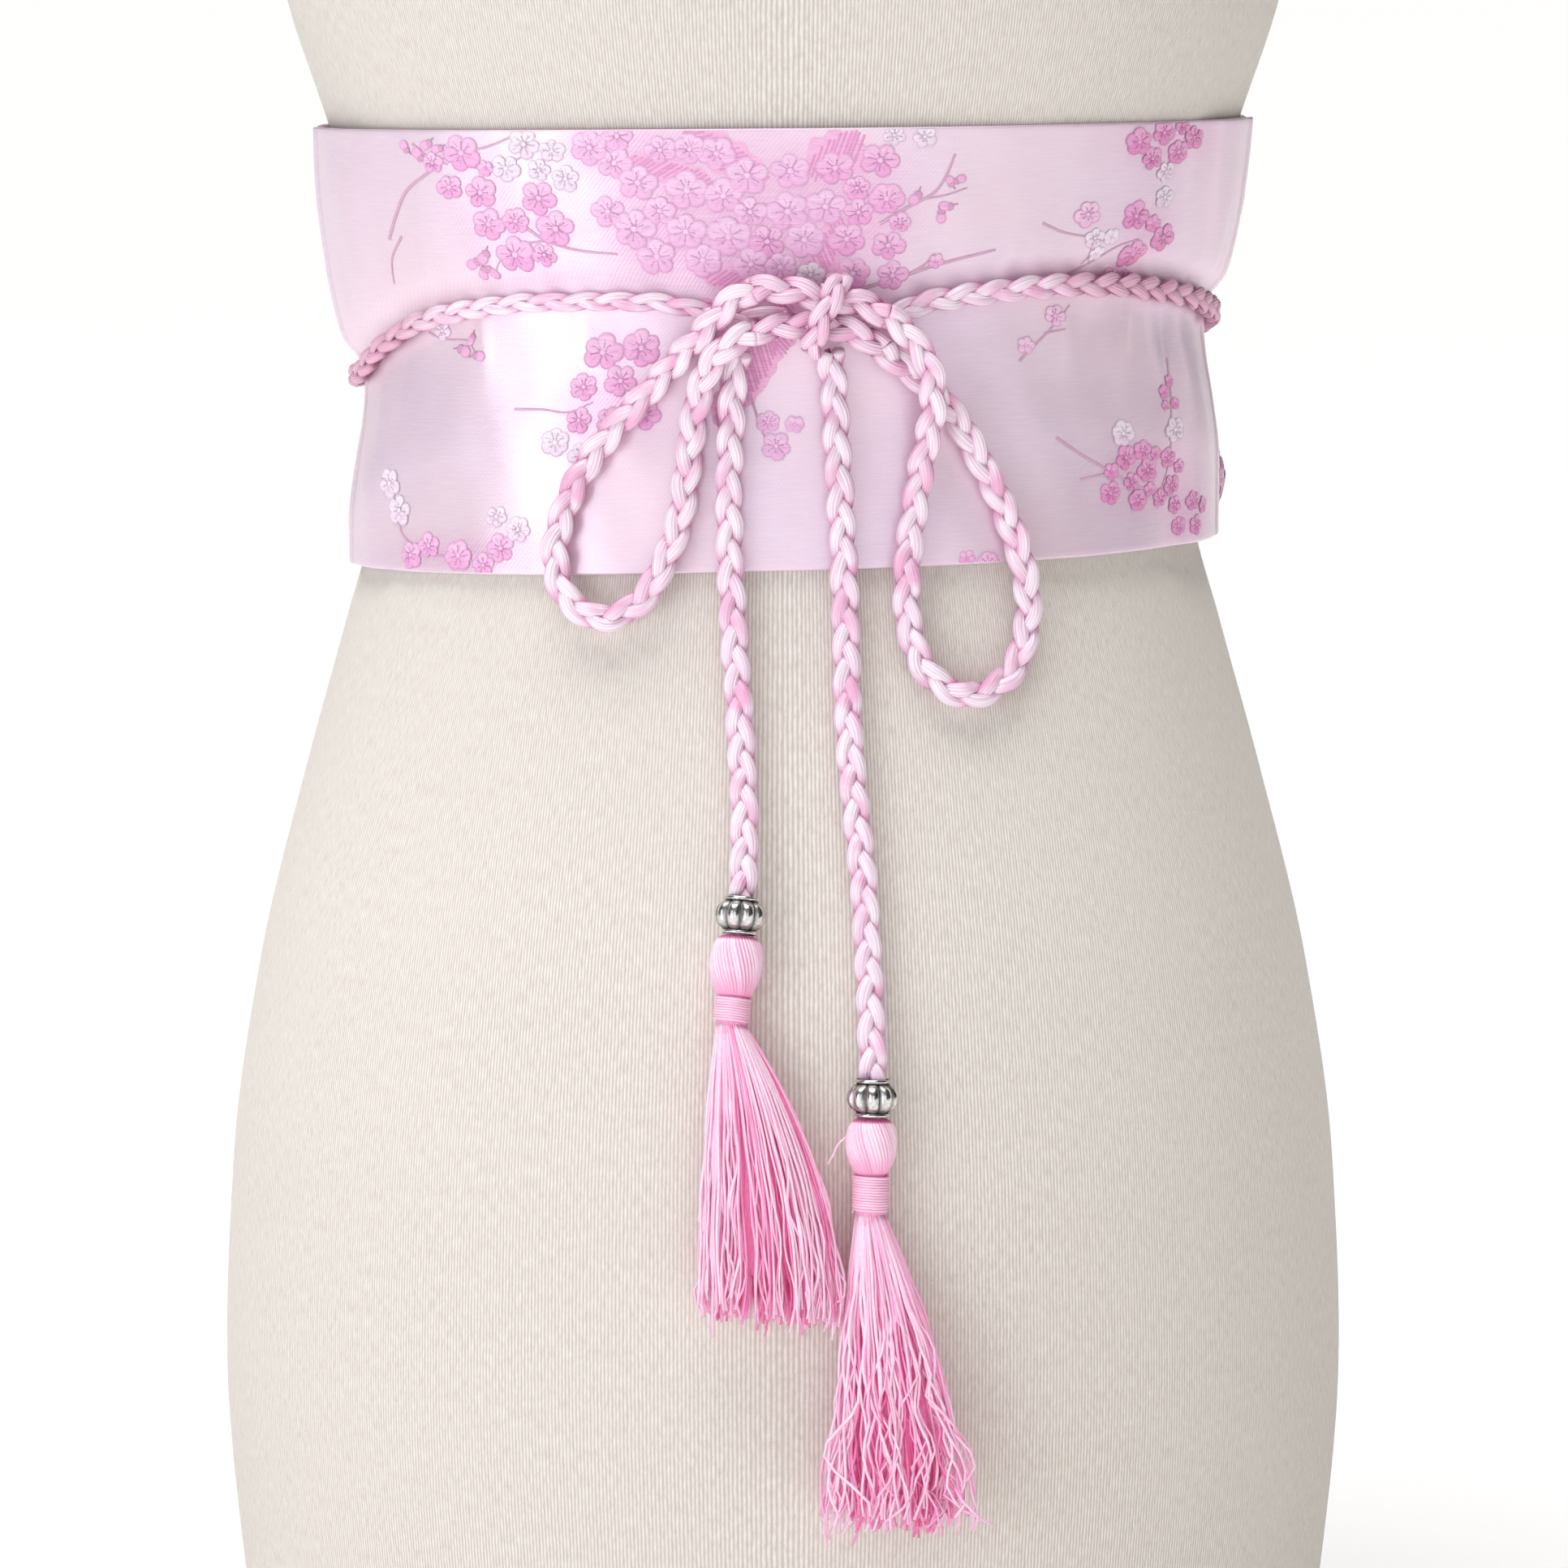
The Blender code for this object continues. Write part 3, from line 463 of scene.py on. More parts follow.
# creases, listed one by one: stretch, angle, distance above (or below) the cord, lean in degrees per mm, half
# width in degrees, half length, and depth; a minus depth is a trough
creases = [
    ("near", -69, 13, 0.05, 1.3, 11, -0.5), ("near", -63, -12, -0.10, 1.5, 12, 0.55),
    ("near", -50, 10, 0.10, 1.2, 8, 0.35), ("near", -41, -11, -0.10, 1.4, 9, 0.4),
    ("near", 38, -13, 0.10, 1.3, 9, 0.5), ("near", 44, -10, 0.16, 1.0, 8, -0.45),
    ("near", 50, -14, 0.12, 1.2, 11, 0.55), ("near", 61, -12, 0.10, 1.2, 9, -0.5),
    ("near", 66, 11, -0.06, 1.0, 9, 0.45), ("near", 75, 12, -0.05, 1.0, 14, -0.5),
    ("near", -24, -9, -0.1, 1.5, 7, 0.3), ("near", 27, 9, 0.1, 1.4, 7, 0.3),
    ("far", 92, 12, 0.10, 1.6, 12, 0.7), ("far", 104, -12, 0.05, 1.5, 12, -0.7),
    ("far", 116, 14, -0.10, 1.6, 12, 0.7), ("far", 122, -11, 0.10, 1.3, 9, 0.6),
    ("far", 136, 11, 0.08, 1.4, 10, -0.6), ("far", 149, -13, -0.10, 1.4, 11, 0.7),
    ("far", 158, 10, 0.12, 1.3, 9, 0.6), ("far", 169, -10, 0.05, 1.5, 8, -0.5),
    ("far", 187, 12, -0.08, 1.5, 11, 0.6), ("far", 197, -12, 0.10, 1.4, 10, 0.6),
    ("far", 208, 11, 0.10, 1.3, 9, -0.5), ("far", 217, -10, -0.12, 1.4, 8, 0.5),
    ("far", 228, 12, -0.05, 1.5, 10, 0.6), ("far", 244, -12, 0.08, 1.5, 11, -0.6),
    ("far", 252, 12, 0.08, 1.4, 11, 0.6), ("far", 268, -11, -0.05, 1.4, 9, 0.5),
    ("far", 274, 12, 0.05, 1.5, 12, -0.5),
]

# slight waves of cloth: size, waves in a turn, waves up the band, phase
slack = [(0.14, 11, 0.05, 0.0), (0.10, 23, -0.09, 1.1), (0.07, 37, 0.13, 2.3), (0.06, 5, 0.21, 0.0)]


def cordHeight(angle):
    return readTable(waistRoute, turned(angle))[0]


def bandEdges(angle):
    side = np.sin(np.radians(angle))
    return sash["lower"] + sash["lowerTilt"] * side, sash["upper"] + sash["upperTilt"] * side


def foldPush(stretch, angle, height):
    push = np.zeros(np.broadcast(angle, height).shape)
    for name, middle, level, depth, reach, tall in folds:
        if name == stretch:
            push += depth * mm * softSpot(turned(angle - middle) / reach, (height - level) / (tall * mm))
    return push


def creasePush(stretch, angle, height):
    above = (height - cordHeight(angle)) / mm
    push = np.zeros(above.shape)
    for name, middle, level, lean, wide, tall, depth in creases:
        if name == stretch:
            across = turned(angle - middle - lean * (above - level)) / wide
            push += depth * mm * softSpot(across, (above - level) / tall)
    return push


def slackPush(angle, height):
    a, h = np.radians(angle), height / mm
    return mm * sum(size * np.sin(waves * a + upward * h + phase) for size, waves, upward, phase in slack)


def lap(angle):  # 1 where the near stretch lies on the far one, 0 where it lies on the form
    a = turned(angle)
    innerEnd = np.where(a > 0, sash["farEnds"][0], 360.0 - sash["farEnds"][1])
    return ease((np.abs(a) - innerEnd + sash["lapEase"]) / sash["lapEase"])


def bandPoints(stretch, angle, height, out):  # out from the face that lies on the form
    angle, height = np.broadcast_arrays(np.asarray(angle, float), np.asarray(height, float))
    push = out + foldPush(stretch, angle, height) + creasePush(stretch, angle, height)
    push = push + slackPush(angle, height)
    if stretch == "near":
        push = push + (sash["cloth"] + sash["layerGap"] + foldPush("far", angle, height)) * lap(angle)
    section = readTable(bandRows, height - cordHeight(angle))
    x, y = ovalPoints(angle, *section, sash["squareness"], push)
    return np.stack([x, y, height], axis=-1)


# ---- the cord round the waist, the bow and its tails

waistCord = dict(
    width=6.2 * mm,
    ends=(8.2, 360.3),
    seat=-0.1 * mm,  # pressed into the band by this much less than its half width
    step=1.45 * mm,
    # painted shade: how much darker the cord is coloured round the sides, and where that starts
    dark=0.85,
    darkFrom=(66, -96),  # x in millimetres where its painted shade starts at either side
    darkOver=(36, 22),
    widths=[(0, 6.4), (0.02, 6.8), (0.10, 7.2), (0.16, 7.2), (0.35, 6.6)],  # from the knot's right side
    endWidths=[(-0.15, 6.2), (-0.06, 5.4), (0, 5.6)],
    pitches=[(0, 30), (0.04, 29), (0.15, 24), (0.3, 26)],
    endPitches=[(-0.15, 27), (0, 34)],
)


def waistLine():
    angle = np.linspace(*waistCord["ends"], 420)
    a = turned(angle)
    pastHem = np.abs(a) - np.where(a > 0, sash["nearHems"][1], -sash["nearHems"][0])
    overLap = lap(angle) * (1 - ease(pastHem / sash["lapEase"]))
    out = sash["cloth"] + waistCord["width"] / 2 + waistCord["seat"]
    out = out + overLap * (sash["cloth"] + sash["layerGap"])
    x, y = ovalPoints(angle, *readTable(bandRows, np.zeros(len(angle))), sash["squareness"], out)
    return np.stack([x, y, cordHeight(angle)], axis=-1)


def outOfWaist(points):
    return unit(points * np.array([1.0, 1.9, 0.0]))


def outOfFront(points):
    return np.broadcast_to(np.array([0.0, -1.0, 0.0]), points.shape)


def addWaistCord():  # pulled thinner and longer on its way to the knot's left side
    line = waistLine()
    end = lengthAlong(line)[-1]

    def readAlong(first, last):
        at, values = zip(*first, *[(end + s, value) for s, value in last])
        return lambda s: np.interp(s, at, np.array(values) * mm)

    width = readAlong(waistCord["widths"], waistCord["endWidths"])
    pitch = readAlong(waistCord["pitches"], waistCord["endPitches"])
    grids, middle = braidGrids(line, outOfWaist, 11, width, pitch, step=waistCord["step"])
    (right, left), (overRight, overLeft) = waistCord["darkFrom"], waistCord["darkOver"]
    for g in grids:  # painted shade: the cord is coloured darker round the sides
        x = g["points"][:, :, 0] / mm
        sides = np.maximum(ease((x - right) / overRight), ease((left - x) / overLeft))
        g["tint"][:, :, 1] = waistCord["dark"] * sides
    made = addPiece("waistCord", meshOfGrids("waistCord", grids, tinted=True), rayon, ["cord_waist"])
    print("waist cord", round(lengthAlong(middle)[-1], 4))


addWaistCord()

loopLeft = [
    (11, -103.4, 455.7), (1, -104.7, 458.2), (-8, -105.1, 458.2), (-14, -104.5, 455.6),
    (-18.7, -103.6, 450.8), (-24.2, -101.5, 444.4), (-30, -97.6, 438.3), (-39, -93.3, 428),
    (-49.7, -91.3, 416.6), (-58.6, -89.8, 404.6), (-64.3, -89.3, 392.2), (-66.7, -91, 379.6),
    (-63.4, -93.2, 367.8), (-53.3, -96.3, 361.8), (-42.6, -97.2, 366), (-35.5, -98.6, 376.7),
    (-30.7, -96.2, 388.5), (-28.1, -95, 402.6), (-26.4, -95, 416.8), (-24.2, -97.9, 428.4),
    (-21.1, -102.1, 436.2), (-15.7, -105, 442.2), (-8.2, -104.5, 445.9), (0, -103.2, 447.5),
    (11, -103, 448.4),
]
loopRight = [
    (11, -103.4, 455.7), (19, -103.6, 455), (26, -103.6, 452.7), (32.3, -103.3, 448.9), (37.9, -102.5, 443.3),
    (42.2, -101.5, 436.1), (43.6, -100.9, 427.4), (42.8, -98.9, 418.3), (40.7, -96.2, 407.4),
    (38.2, -95.4, 392), (36.3, -98.4, 376.7), (37, -98.2, 358.9), (42.9, -100.7, 345.6),
    (54.6, -100.2, 339.4), (66.1, -95.4, 345.1), (71.7, -90.6, 359.3), (70.5, -90.9, 376),
    (64.9, -89.3, 392.6), (57, -90.3, 408.9), (49.1, -91.4, 422), (39.6, -93.5, 431.9), (30.5, -98.4, 439.2),
    (22.4, -102.2, 445.1), (11, -103, 448.4),
]
tailLeft = [
    (-13.1, -96.2, 439), (-14.3, -95.3, 431), (-14.8, -95, 423.9), (-15.3, -95.3, 412.1),
    (-15.8, -95.9, 400.3), (-15.6, -96.9, 388.5), (-15.3, -98.4, 376.8), (-14.6, -99.4, 365),
    (-14.1, -101.9, 353.4), (-13.2, -104.7, 341.8), (-12.5, -107.7, 330.2), (-11.7, -110.7, 318.7),
    (-11.3, -114.3, 307.2), (-11.3, -118.4, 296.5),
]
tailRight = [
    (13.6, -97.6, 440), (14.5, -96, 432.3), (15.2, -95.2, 423.9), (15.9, -95.2, 412.1), (16.6, -95.9, 400.3),
    (17.3, -96.8, 388.5), (17.8, -98.3, 376.8), (18.3, -99.2, 362.6), (18.5, -102.3, 348.6),
    (19, -106, 334.8), (19.9, -109.9, 321), (21.3, -113.2, 307.1), (22.5, -115.9, 295.6), (23.6, -118.7, 284),
    (24.5, -122.1, 270.3), (25.2, -125.3, 256.4), (25.7, -128.2, 242.6),
]
wrap = [
    (16.5, -103.4, 461.6), (15.2, -108, 458.6), (12, -109.9, 451.6), (9, -108.2, 443.8), (8, -103.4, 440.6),
    (8.8, -98.8, 443.4), (12, -97, 451), (15.4, -98.8, 458.6),
]
knot = dict(
    hold=20.0 * mm,  # how much of each end of a loop it holds
    wrapWidth=7.0 * mm,
    middle=(11.8, -103.0, 451.0),
)


def outOfKnot(points):
    return unit(points - np.array(knot["middle"]) * mm)


def addLoop(name, route, node, seed):  # gives back its two ends, which the knot holds
    line = curveThrough(route)
    full = lengthAlong(line)[-1]

    def stretchOf(start, end):
        return braidGrids(line, outOfFront, seed, start=start, end=end, phase=start / braid["pitch"])

    grids, middle = stretchOf(knot["hold"], full - knot["hold"])
    made = addPiece(name, meshOfGrids(name, grids, tinted=True), rayon, [node])
    return stretchOf(0.0, knot["hold"])[0] + stretchOf(full - knot["hold"], full)[0]


def addKnot(grids):
    closed = curveThrough([*wrap, wrap[0]])
    turn = lengthAlong(closed)[-1]
    grids = grids + braidGrids(closed, outOfKnot, 23, width=knot["wrapWidth"], pitch=turn / 2)[0]
    for g in grids:  # painted shade: the knot's hollows are coloured deeper pink
        g["tint"][:, :, 0] = np.clip(1.5 * g["tint"][:, :, 0] + 0.1, 0, 1)
    addPiece("bowKnot", meshOfGrids("bowKnot", grids, tinted=True), rayon, ["knot"])


leftEnds = addLoop("loopLeft", loopLeft, "loop_left", 21)
rightEnds = addLoop("loopRight", loopRight, "loop_right", 22)
addKnot(leftEnds + rightEnds)

# ---- beads and tassels

# lean: how far a tassel hangs aside and out for each millimetre down; settle: how soon it is at its full
# width; strays: threads that run aside to the left, away, and down from the bead's middle
tasselPlans = [
    dict(
        side="Left", node="left", seed=31, route=tailLeft, bead=(-12.3, -124.3, 278.2), lobePhase=0.25,
        lean=(-0.088, -0.2), bulbLength=17, bulbRadius=7.8, binding=8, end=(-4.4, -138, 162.5),
        halfWidth=22.6, halfDepth=8.5, settle=2.0, wave=1.1, wild=0.12, locks=17, lockSway=0.06, strays=[],
    ),
    dict(
        side="Right", node="right", seed=32, route=tailRight, bead=(25.9, -131.5, 225.9), lobePhase=0.75,
        lean=(-0.02, -0.1), bulbLength=15.6, bulbRadius=7.6, binding=11.5, end=(34.3, -136.8, 101.5),
        halfWidth=21.5, halfDepth=8.5, settle=1.6, wave=2.3, wild=0.3, locks=19, lockSway=0.13,
        strays=[[(6.5, 2, 11), (9.5, 0, 13.5), (11.2, -1, 17), (12.6, -1, 19.5)]],
    ),
]

# an outline along the bead's axis from its middle: distance, radius, and how far its lobes stand out
beadHalf = [
    (0, 5.32, 2.26), (0.9, 5.3, 2.22), (1.9, 5.2, 2.05), (2.9, 5, 1.6), (3.6, 4.75, 0.85), (4.05, 4.62, 0.15),
    (4.3, 4.75, 0), (4.5, 5.1, 0), (4.9, 5.25, 0), (5.3, 5.1, 0), (5.5, 4.75, 0), (5.4, 4.4, 0),
]
beadRows = [(-at, radius, lobe) for at, radius, lobe in beadHalf[:0:-1]] + beadHalf
bead = dict(lobes=9, pointsPerLobe=14, bore=4.4, rimFrom=4.0)

bulbRows = [(0.00, 0.58), (0.05, 0.76), (0.18, 0.92), (0.42, 1.00), (0.66, 0.95), (0.86, 0.81), (1.00, 0.68)]


def hangFrame(plan):  # the way a tassel hangs, with two directions square to it
    down = unit(np.array([*plan["lean"], -1.0]))
    across = unit(np.cross(down, (0.0, 1.0, 0.0)))
    return down, across, np.cross(across, down)


def lathe(plan, along, radius, angles):  # radius: one number a row, or rows by angles
    down, across, outwards = hangFrame(plan)
    along, radius = np.asarray(along, float), np.asarray(radius, float)
    radius = radius[:, None] if radius.ndim == 1 else radius
    centre = np.array(plan["bead"])[None, :] + down[None, :] * along[:, None]
    spoke = np.cos(angles)[:, None] * across + np.sin(angles)[:, None] * outwards
    return (centre[:, None, :] + radius[:, :, None] * spoke[None, :, :]) * mm


def antiqueSilver():
    # Cast zinc alloy plated in antique silver: polished on the lobes, black oxide left in the hollows.
    plate = dict(bright="#F1EFEC", worn="#C2BFBB", oxide="#1E1B1A")
    made, tree, shader = newMaterial("cast antique silver plate", Metallic=1.0, Roughness=0.2)
    polish = tintNode(tree).outputs["Fac"]
    mottle = noise(tree, objectPlace(tree), 900.0, 3.0)
    ground = mixColours(tree, remap(tree, mottle, 0.35, 0.7), plate["worn"], plate["bright"])
    tree.links.new(remap(tree, polish, 0.0, 1.0, 0.6, 0.17), shader.inputs["Roughness"])
    finishSurface(tree, shader, mixColours(tree, polish, plate["oxide"], ground), mottle, 0.15, 0.08)
    return made


silver = antiqueSilver()


def addBead(plan):
    rows = np.array(beadRows)
    angles = circle(bead["lobes"] * bead["pointsPerLobe"])
    place = (angles * bead["lobes"] / fullTurn + plan["lobePhase"]) % 1.0  # across one lobe
    lobe = np.sqrt(np.clip(1 - (2 * place - 1) ** 2, 0.0, 1.0))
    radius = rows[:, 1:2] + rows[:, 2:3] * lobe[None, :]
    swell = rows[:, 2:3] / rows[:, 2].max()
    shine = np.where(swell > 0.02, np.clip(1.5 * lobe[None, :] * np.sqrt(swell) - 0.25, 0, 1), 0.0)
    rim = np.clip((rows[:, 1] - 4.7) / 0.4, 0, 1)[:, None] * (np.abs(rows[:, 0:1]) > bead["rimFrom"])
    shine = np.maximum(shine, rim)
    points = lathe(plan, rows[:, 0], radius, angles)
    bore = lathe(plan, [rows[-1, 0], rows[0, 0]], [bead["bore"], bead["bore"]], angles)
    points = np.concatenate([points, bore, points[:1]])
    shine = np.concatenate([shine, np.zeros((2, len(angles))), shine[:1]])
    tint = np.repeat(shine[:, :, None], 3, axis=2)
    mesh = meshOfGrids("bead" + plan["side"], [grid(points, tint=tint)], tinted=True)
    return addPiece("bead" + plan["side"], mesh, silver, ["bead_" + plan["node"]])


def tasselRayon():
    # Slack rayon filament yarn, cut and hanging: each thread catches the light alone, so they differ in tone.
    # A faint pink painted glow stands in for light that comes through the threads and keeps the hollows pink.
    thread = dict(deep="#F7B2D6", through="#F0509F")
    made, tree, shader = newMaterial(
        "hanging filament rayon", Roughness=0.36, Anisotropic=0.4, IOR=1.52, Specular_IOR_Level=0.75,
        Sheen_Weight=0.3, Sheen_Roughness=0.4,
        # a painted glow, faint and pink, in place of light that passes through the threads
        Emission_Strength=0.07, Emission_Color=linear(thread["through"]),
    )
    fibres = noise(tree, stretched(tree, uvPlace(tree), (420.0, 2200.0, 1.0)), 1.0)
    shade = remap(tree, fibres, 0.3, 0.6, 0.45, 0.0)
    tone = mixColours(tree, shade, tintNode(tree).outputs["Color"], thread["deep"])
    finishSurface(tree, shader, tone, fibres, 0.25, 0.1, threads=True)
    return made


tasselThread = tasselRayon()
tassel = dict(
    neck=4.25,
    gap=0.3,
    beadToBulb=6.0,
    straightAbove=8.0,
    rootRadius=4.2,
    rootLength=3.0,
    threads=290,
    threadRadius=0.53,
    strayRadius=0.3,
    strayPoints=14,
    rows=22,
    tints=["#FFE6F3", "#FED2E8", "#FDB8DB", "#FA96C9", "#F479B5", "#EE5C9F"],  # from the outside in; the deeper pinks inside are painted shade
    outerShares=[0.34, 0.36, 0.2, 0.07, 0.03, 0.0],  # how many threads have each tint
    innerShares=[0.0, 0.06, 0.14, 0.24, 0.28, 0.28],
    innerWithin=0.7,  # of the way out
)
bulb = dict(folds=40, pointsPerFold=4, rows=26, twist=0.85, groove=0.085)
# the groove, drawnIn and pit colours are painted shade: in the grooves, low on the bulb, and under the bead
bulbTints = dict(folds=["#FFF6FA", "#FEECF4", "#FCDDEB"], groove="#E07CB2", drawnIn="#F28FC0", pit="#C4497F")
core = dict(around=36, length=0.86, share=0.62)  # the innermost threads, as one deep pink body: painted shade between the outer threads
# between: the colour of painted shade where two turns meet
binding = dict(thread=0.46, spacing=1.85, pointsPerTurn=26, sides=8, pale="#FCDBEB", between="#D27BA6")
golden = math.pi * (3 - math.sqrt(5))


def blend(first, second, share):
    return first * (1 - share) + second * share


def threadTint(draw, shares):
    return flatColour(tassel["tints"][draw.choice(len(tassel["tints"]), p=shares)])


def threadGrid(line, radius, tint, sides=4, offset=0.0):  # one thread of a tassel, in millimetres
    line = np.asarray(line, float)
    forward = unit(np.gradient(line, axis=0))
    side = unit(np.cross(forward, (0.3, 1.0, 0.2)))
    up = np.cross(side, forward)
    psi = circle(sides)
    spoke = np.cos(psi)[None, :, None] * side[:, None, :] + np.sin(psi)[None, :, None] * up[:, None, :]
    ring = line[:, None, :] + np.broadcast_to(radius, (len(line),))[:, None, None] * spoke
    around = np.arange(sides + 1) * 0.4 * mm
    return grid(ring * mm, along=lengthAlong(line) * mm + offset, round=around, tint=tint, capped=True)


def headGrid(plan, draw, rootTop):  # threads folded over the cord's end, drawn in under the binding
    folds, top = bulb["folds"], tassel["beadToBulb"]
    folded = folds * bulb["pointsPerFold"]
    angles = circle(folded)
    share = np.linspace(0, 1, bulb["rows"])
    below = [top + plan["bulbLength"] + 0.4, rootTop, rootTop + tassel["rootLength"]]
    along = np.concatenate([[top - 0.2, top - 0.1], top + share * plan["bulbLength"], below])
    radius = readTable(bulbRows, share)[0] * plan["bulbRadius"]
    radius = np.concatenate([[1.0, 3.4], radius, [tassel["neck"], tassel["neck"], tassel["rootRadius"]]])
    down = np.linspace(0, 1, len(along))
    depth = bulb["groove"] * np.clip(radius / plan["bulbRadius"], 0.3, 1)
    unevenFold = draw.uniform(0.55, 1.35, folds)
    which = ((angles / fullTurn * folds).astype(int)) % folds
    groove = (0.5 - 0.5 * np.cos(folds * angles)) * unevenFold[which]
    head = [
        lathe(plan, [a], np.array([r * (1 - d * groove)]), angles + t)[0]
        for a, r, t, d in zip(along, radius, bulb["twist"] * down, depth)
    ]
    tint = np.array([flatColour(draw.choice(bulbTints["folds"])) for _ in range(folds)])
    # painted shade in the grooves between folds
    shaded = 0.9 * np.clip(groove, 0, 1)[:, None] ** 3
    tint = blend(tint[which], flatColour(bulbTints["groove"]), shaded)
    # painted shade: the lower part of the bulb is coloured deeper pink
    low = (0.75 * ease((down - 0.5) / 0.45))[:, None, None]
    tint = blend(tint[None, :, :], flatColour(bulbTints["drawnIn"]), low)
    tint[:4] = flatColour(bulbTints["pit"])  # painted shade under the bead
    girth = fullTurn * plan["bulbRadius"] * mm
    around = np.arange(folded + 1) * girth / folded
    return grid(np.array(head), along=along * mm, round=around, tint=tint, capped=True)


def addTassel(plan):
    draw = np.random.default_rng(plan["seed"])
    down, across, outwards = hangFrame(plan)
    beadMiddle = np.array(plan["bead"])
    rootTop = tassel["beadToBulb"] + plan["bulbLength"] + plan["binding"] + 2 * tassel["gap"]
    grids = [headGrid(plan, draw, rootTop)]
    # the skirt
    root = beadMiddle + down * (rootTop + 0.2)
    start = tassel["rootRadius"] - 0.2
    end = np.array(plan["end"])
    t = np.linspace(0, 1, tassel["rows"])

    def spreadAt(share):
        return 1 - (1 - share) ** plan["settle"]

    def reach(half, share):
        return start + (plan[half] - start) * spreadAt(share)

    out, turn = np.sqrt(draw.uniform(0.15, 1, plan["locks"])) * 0.9, np.arange(plan["locks"]) * golden
    locks = np.array([(q * math.cos(a), q * math.sin(a)) for q, a in zip(out, turn)])
    lockSway = draw.normal(0, plan["lockSway"], (plan["locks"], 2))
    # the innermost threads as one body, out of sight but for its deep pink between the others: painted shade
    low = core["length"] * t
    middle = root + (end - root) * np.stack([spreadAt(low)] * 2 + [low], axis=1)
    psi = circle(core["around"])
    ridged = 1 + 0.12 * np.cos(9 * psi + 1.3 * np.sin(2 * psi))
    share = core["share"] * (1 - 0.25 * t**3)[:, None] * ridged[None, :]
    body = middle[:, None, :] + (share * reach("halfWidth", low)[:, None] * np.cos(psi))[:, :, None] * across
    body = body + (share * reach("halfDepth", low)[:, None] * np.sin(psi))[:, :, None] * outwards
    around = np.arange(core["around"] + 1) * 40 * mm / core["around"]
    tint = flatColour(tassel["tints"][-2])
    grids.append(grid(body * mm, along=low * 0.11, round=around, tint=tint, capped=True))
    for i in range(tassel["threads"]):
        r = math.sqrt((i + 0.5) / tassel["threads"])
        inner = r <= tassel["innerWithin"]
        px, py = r * math.cos(i * golden), r * math.sin(i * golden)
        lock = int(np.argmin(np.hypot(locks[:, 0] - px, locks[:, 1] - py)))
        drawn = 0.42 * np.sqrt(t) * (1 - 0.45 * t)  # how far each thread is drawn to its lock
        px = px + (locks[lock, 0] - px) * drawn + lockSway[lock, 0] * t**1.5
        py = py + (locks[lock, 1] - py) * drawn + lockSway[lock, 1] * t**1.5
        longer = draw.normal(0, 2.6) + (5 if draw.random() < 0.05 else 0)
        spread = spreadAt(t)
        centre = root + (end - root) * np.stack([spread, spread, t * (1 + (longer - 1.5) / 115)], axis=1)
        wild = 1 + 2.2 * (draw.random() < plan["wild"]) * (not inner)
        sway = plan["wave"] * wild * t**1.4
        phase = draw.uniform(0, fullTurn, 4)
        ripple = draw.uniform(1.5, 4.5, 2)
        waveX = np.sin(ripple[0] * 2 * math.pi * t + phase[0]) * draw.uniform(0.3, 1.0)
        waveX = waveX + 0.5 * np.sin(2.7 * ripple[0] * math.pi * t + phase[1]) * draw.uniform(0, 1)
        waveY = 0.6 * sway * np.sin(ripple[1] * 2 * math.pi * t + phase[2])
        line = centre + (px * reach("halfWidth", t) + sway * waveX)[:, None] * across
        line = line + (py * reach("halfDepth", t) + waveY)[:, None] * outwards
        thick = tassel["threadRadius"] * draw.uniform(0.75, 1.15) * (1 - 0.22 * t)
        # painted shade: the inner threads take the deeper pinks
        tint = threadTint(draw, tassel["innerShares" if inner else "outerShares"])
        grids.append(threadGrid(line, thick, tint, offset=i * 0.013))
    for stray in plan["strays"]:
        line = np.array([beadMiddle - across * a + outwards * b + down * c for a, b, c in stray])
        line = softened(line, tassel["strayPoints"])
        grids.append(threadGrid(line, tassel["strayRadius"], threadTint(draw, [1, 0, 0, 0, 0, 0])))
    mesh = meshOfGrids("tassel" + plan["side"], grids, tinted=True)
    return addPiece("tassel" + plan["side"], mesh, tasselThread, ["tassel_" + plan["node"]])


def addBinding(plan):  # thread wound round the neck
    down, across, outwards = hangFrame(plan)
    thread = binding["thread"]
    turns = plan["binding"] / (binding["spacing"] * thread)
    count = int(turns * binding["pointsPerTurn"])
    theta = np.linspace(0, 2 * math.pi * turns, count)
    top = tassel["beadToBulb"] + plan["bulbLength"] + tassel["gap"]
    along = top + thread + (plan["binding"] - 2 * thread) * np.linspace(0, 1, count)
    radius = tassel["neck"] + tassel["gap"] + thread * 0.8
    radius = radius + 0.05 * np.sin(theta * 0.37) + 0.04 * np.sin(theta * 1.3 + 1)  # wound by hand
    spoke = np.cos(theta)[:, None] * across + np.sin(theta)[:, None] * outwards
    line = np.array(plan["bead"]) + down * along[:, None] + radius[:, None] * spoke
    meeting = (np.abs(np.cos(circle(binding["sides"]))) ** 2)[None, :, None]  # painted shade, 1 where two turns meet
    tint = blend(flatColour(binding["pale"]), flatColour(binding["between"]), 0.75 * meeting)
    tint = tint * (1 + 0.05 * np.sin(theta * 0.21))[:, None, None]
    name = "binding" + plan["side"]
    mesh = meshOfGrids(name, [threadGrid(line, thread, tint, sides=binding["sides"])], tinted=True)
    return addPiece(name, mesh, tasselThread, ["binding_" + plan["node"]])


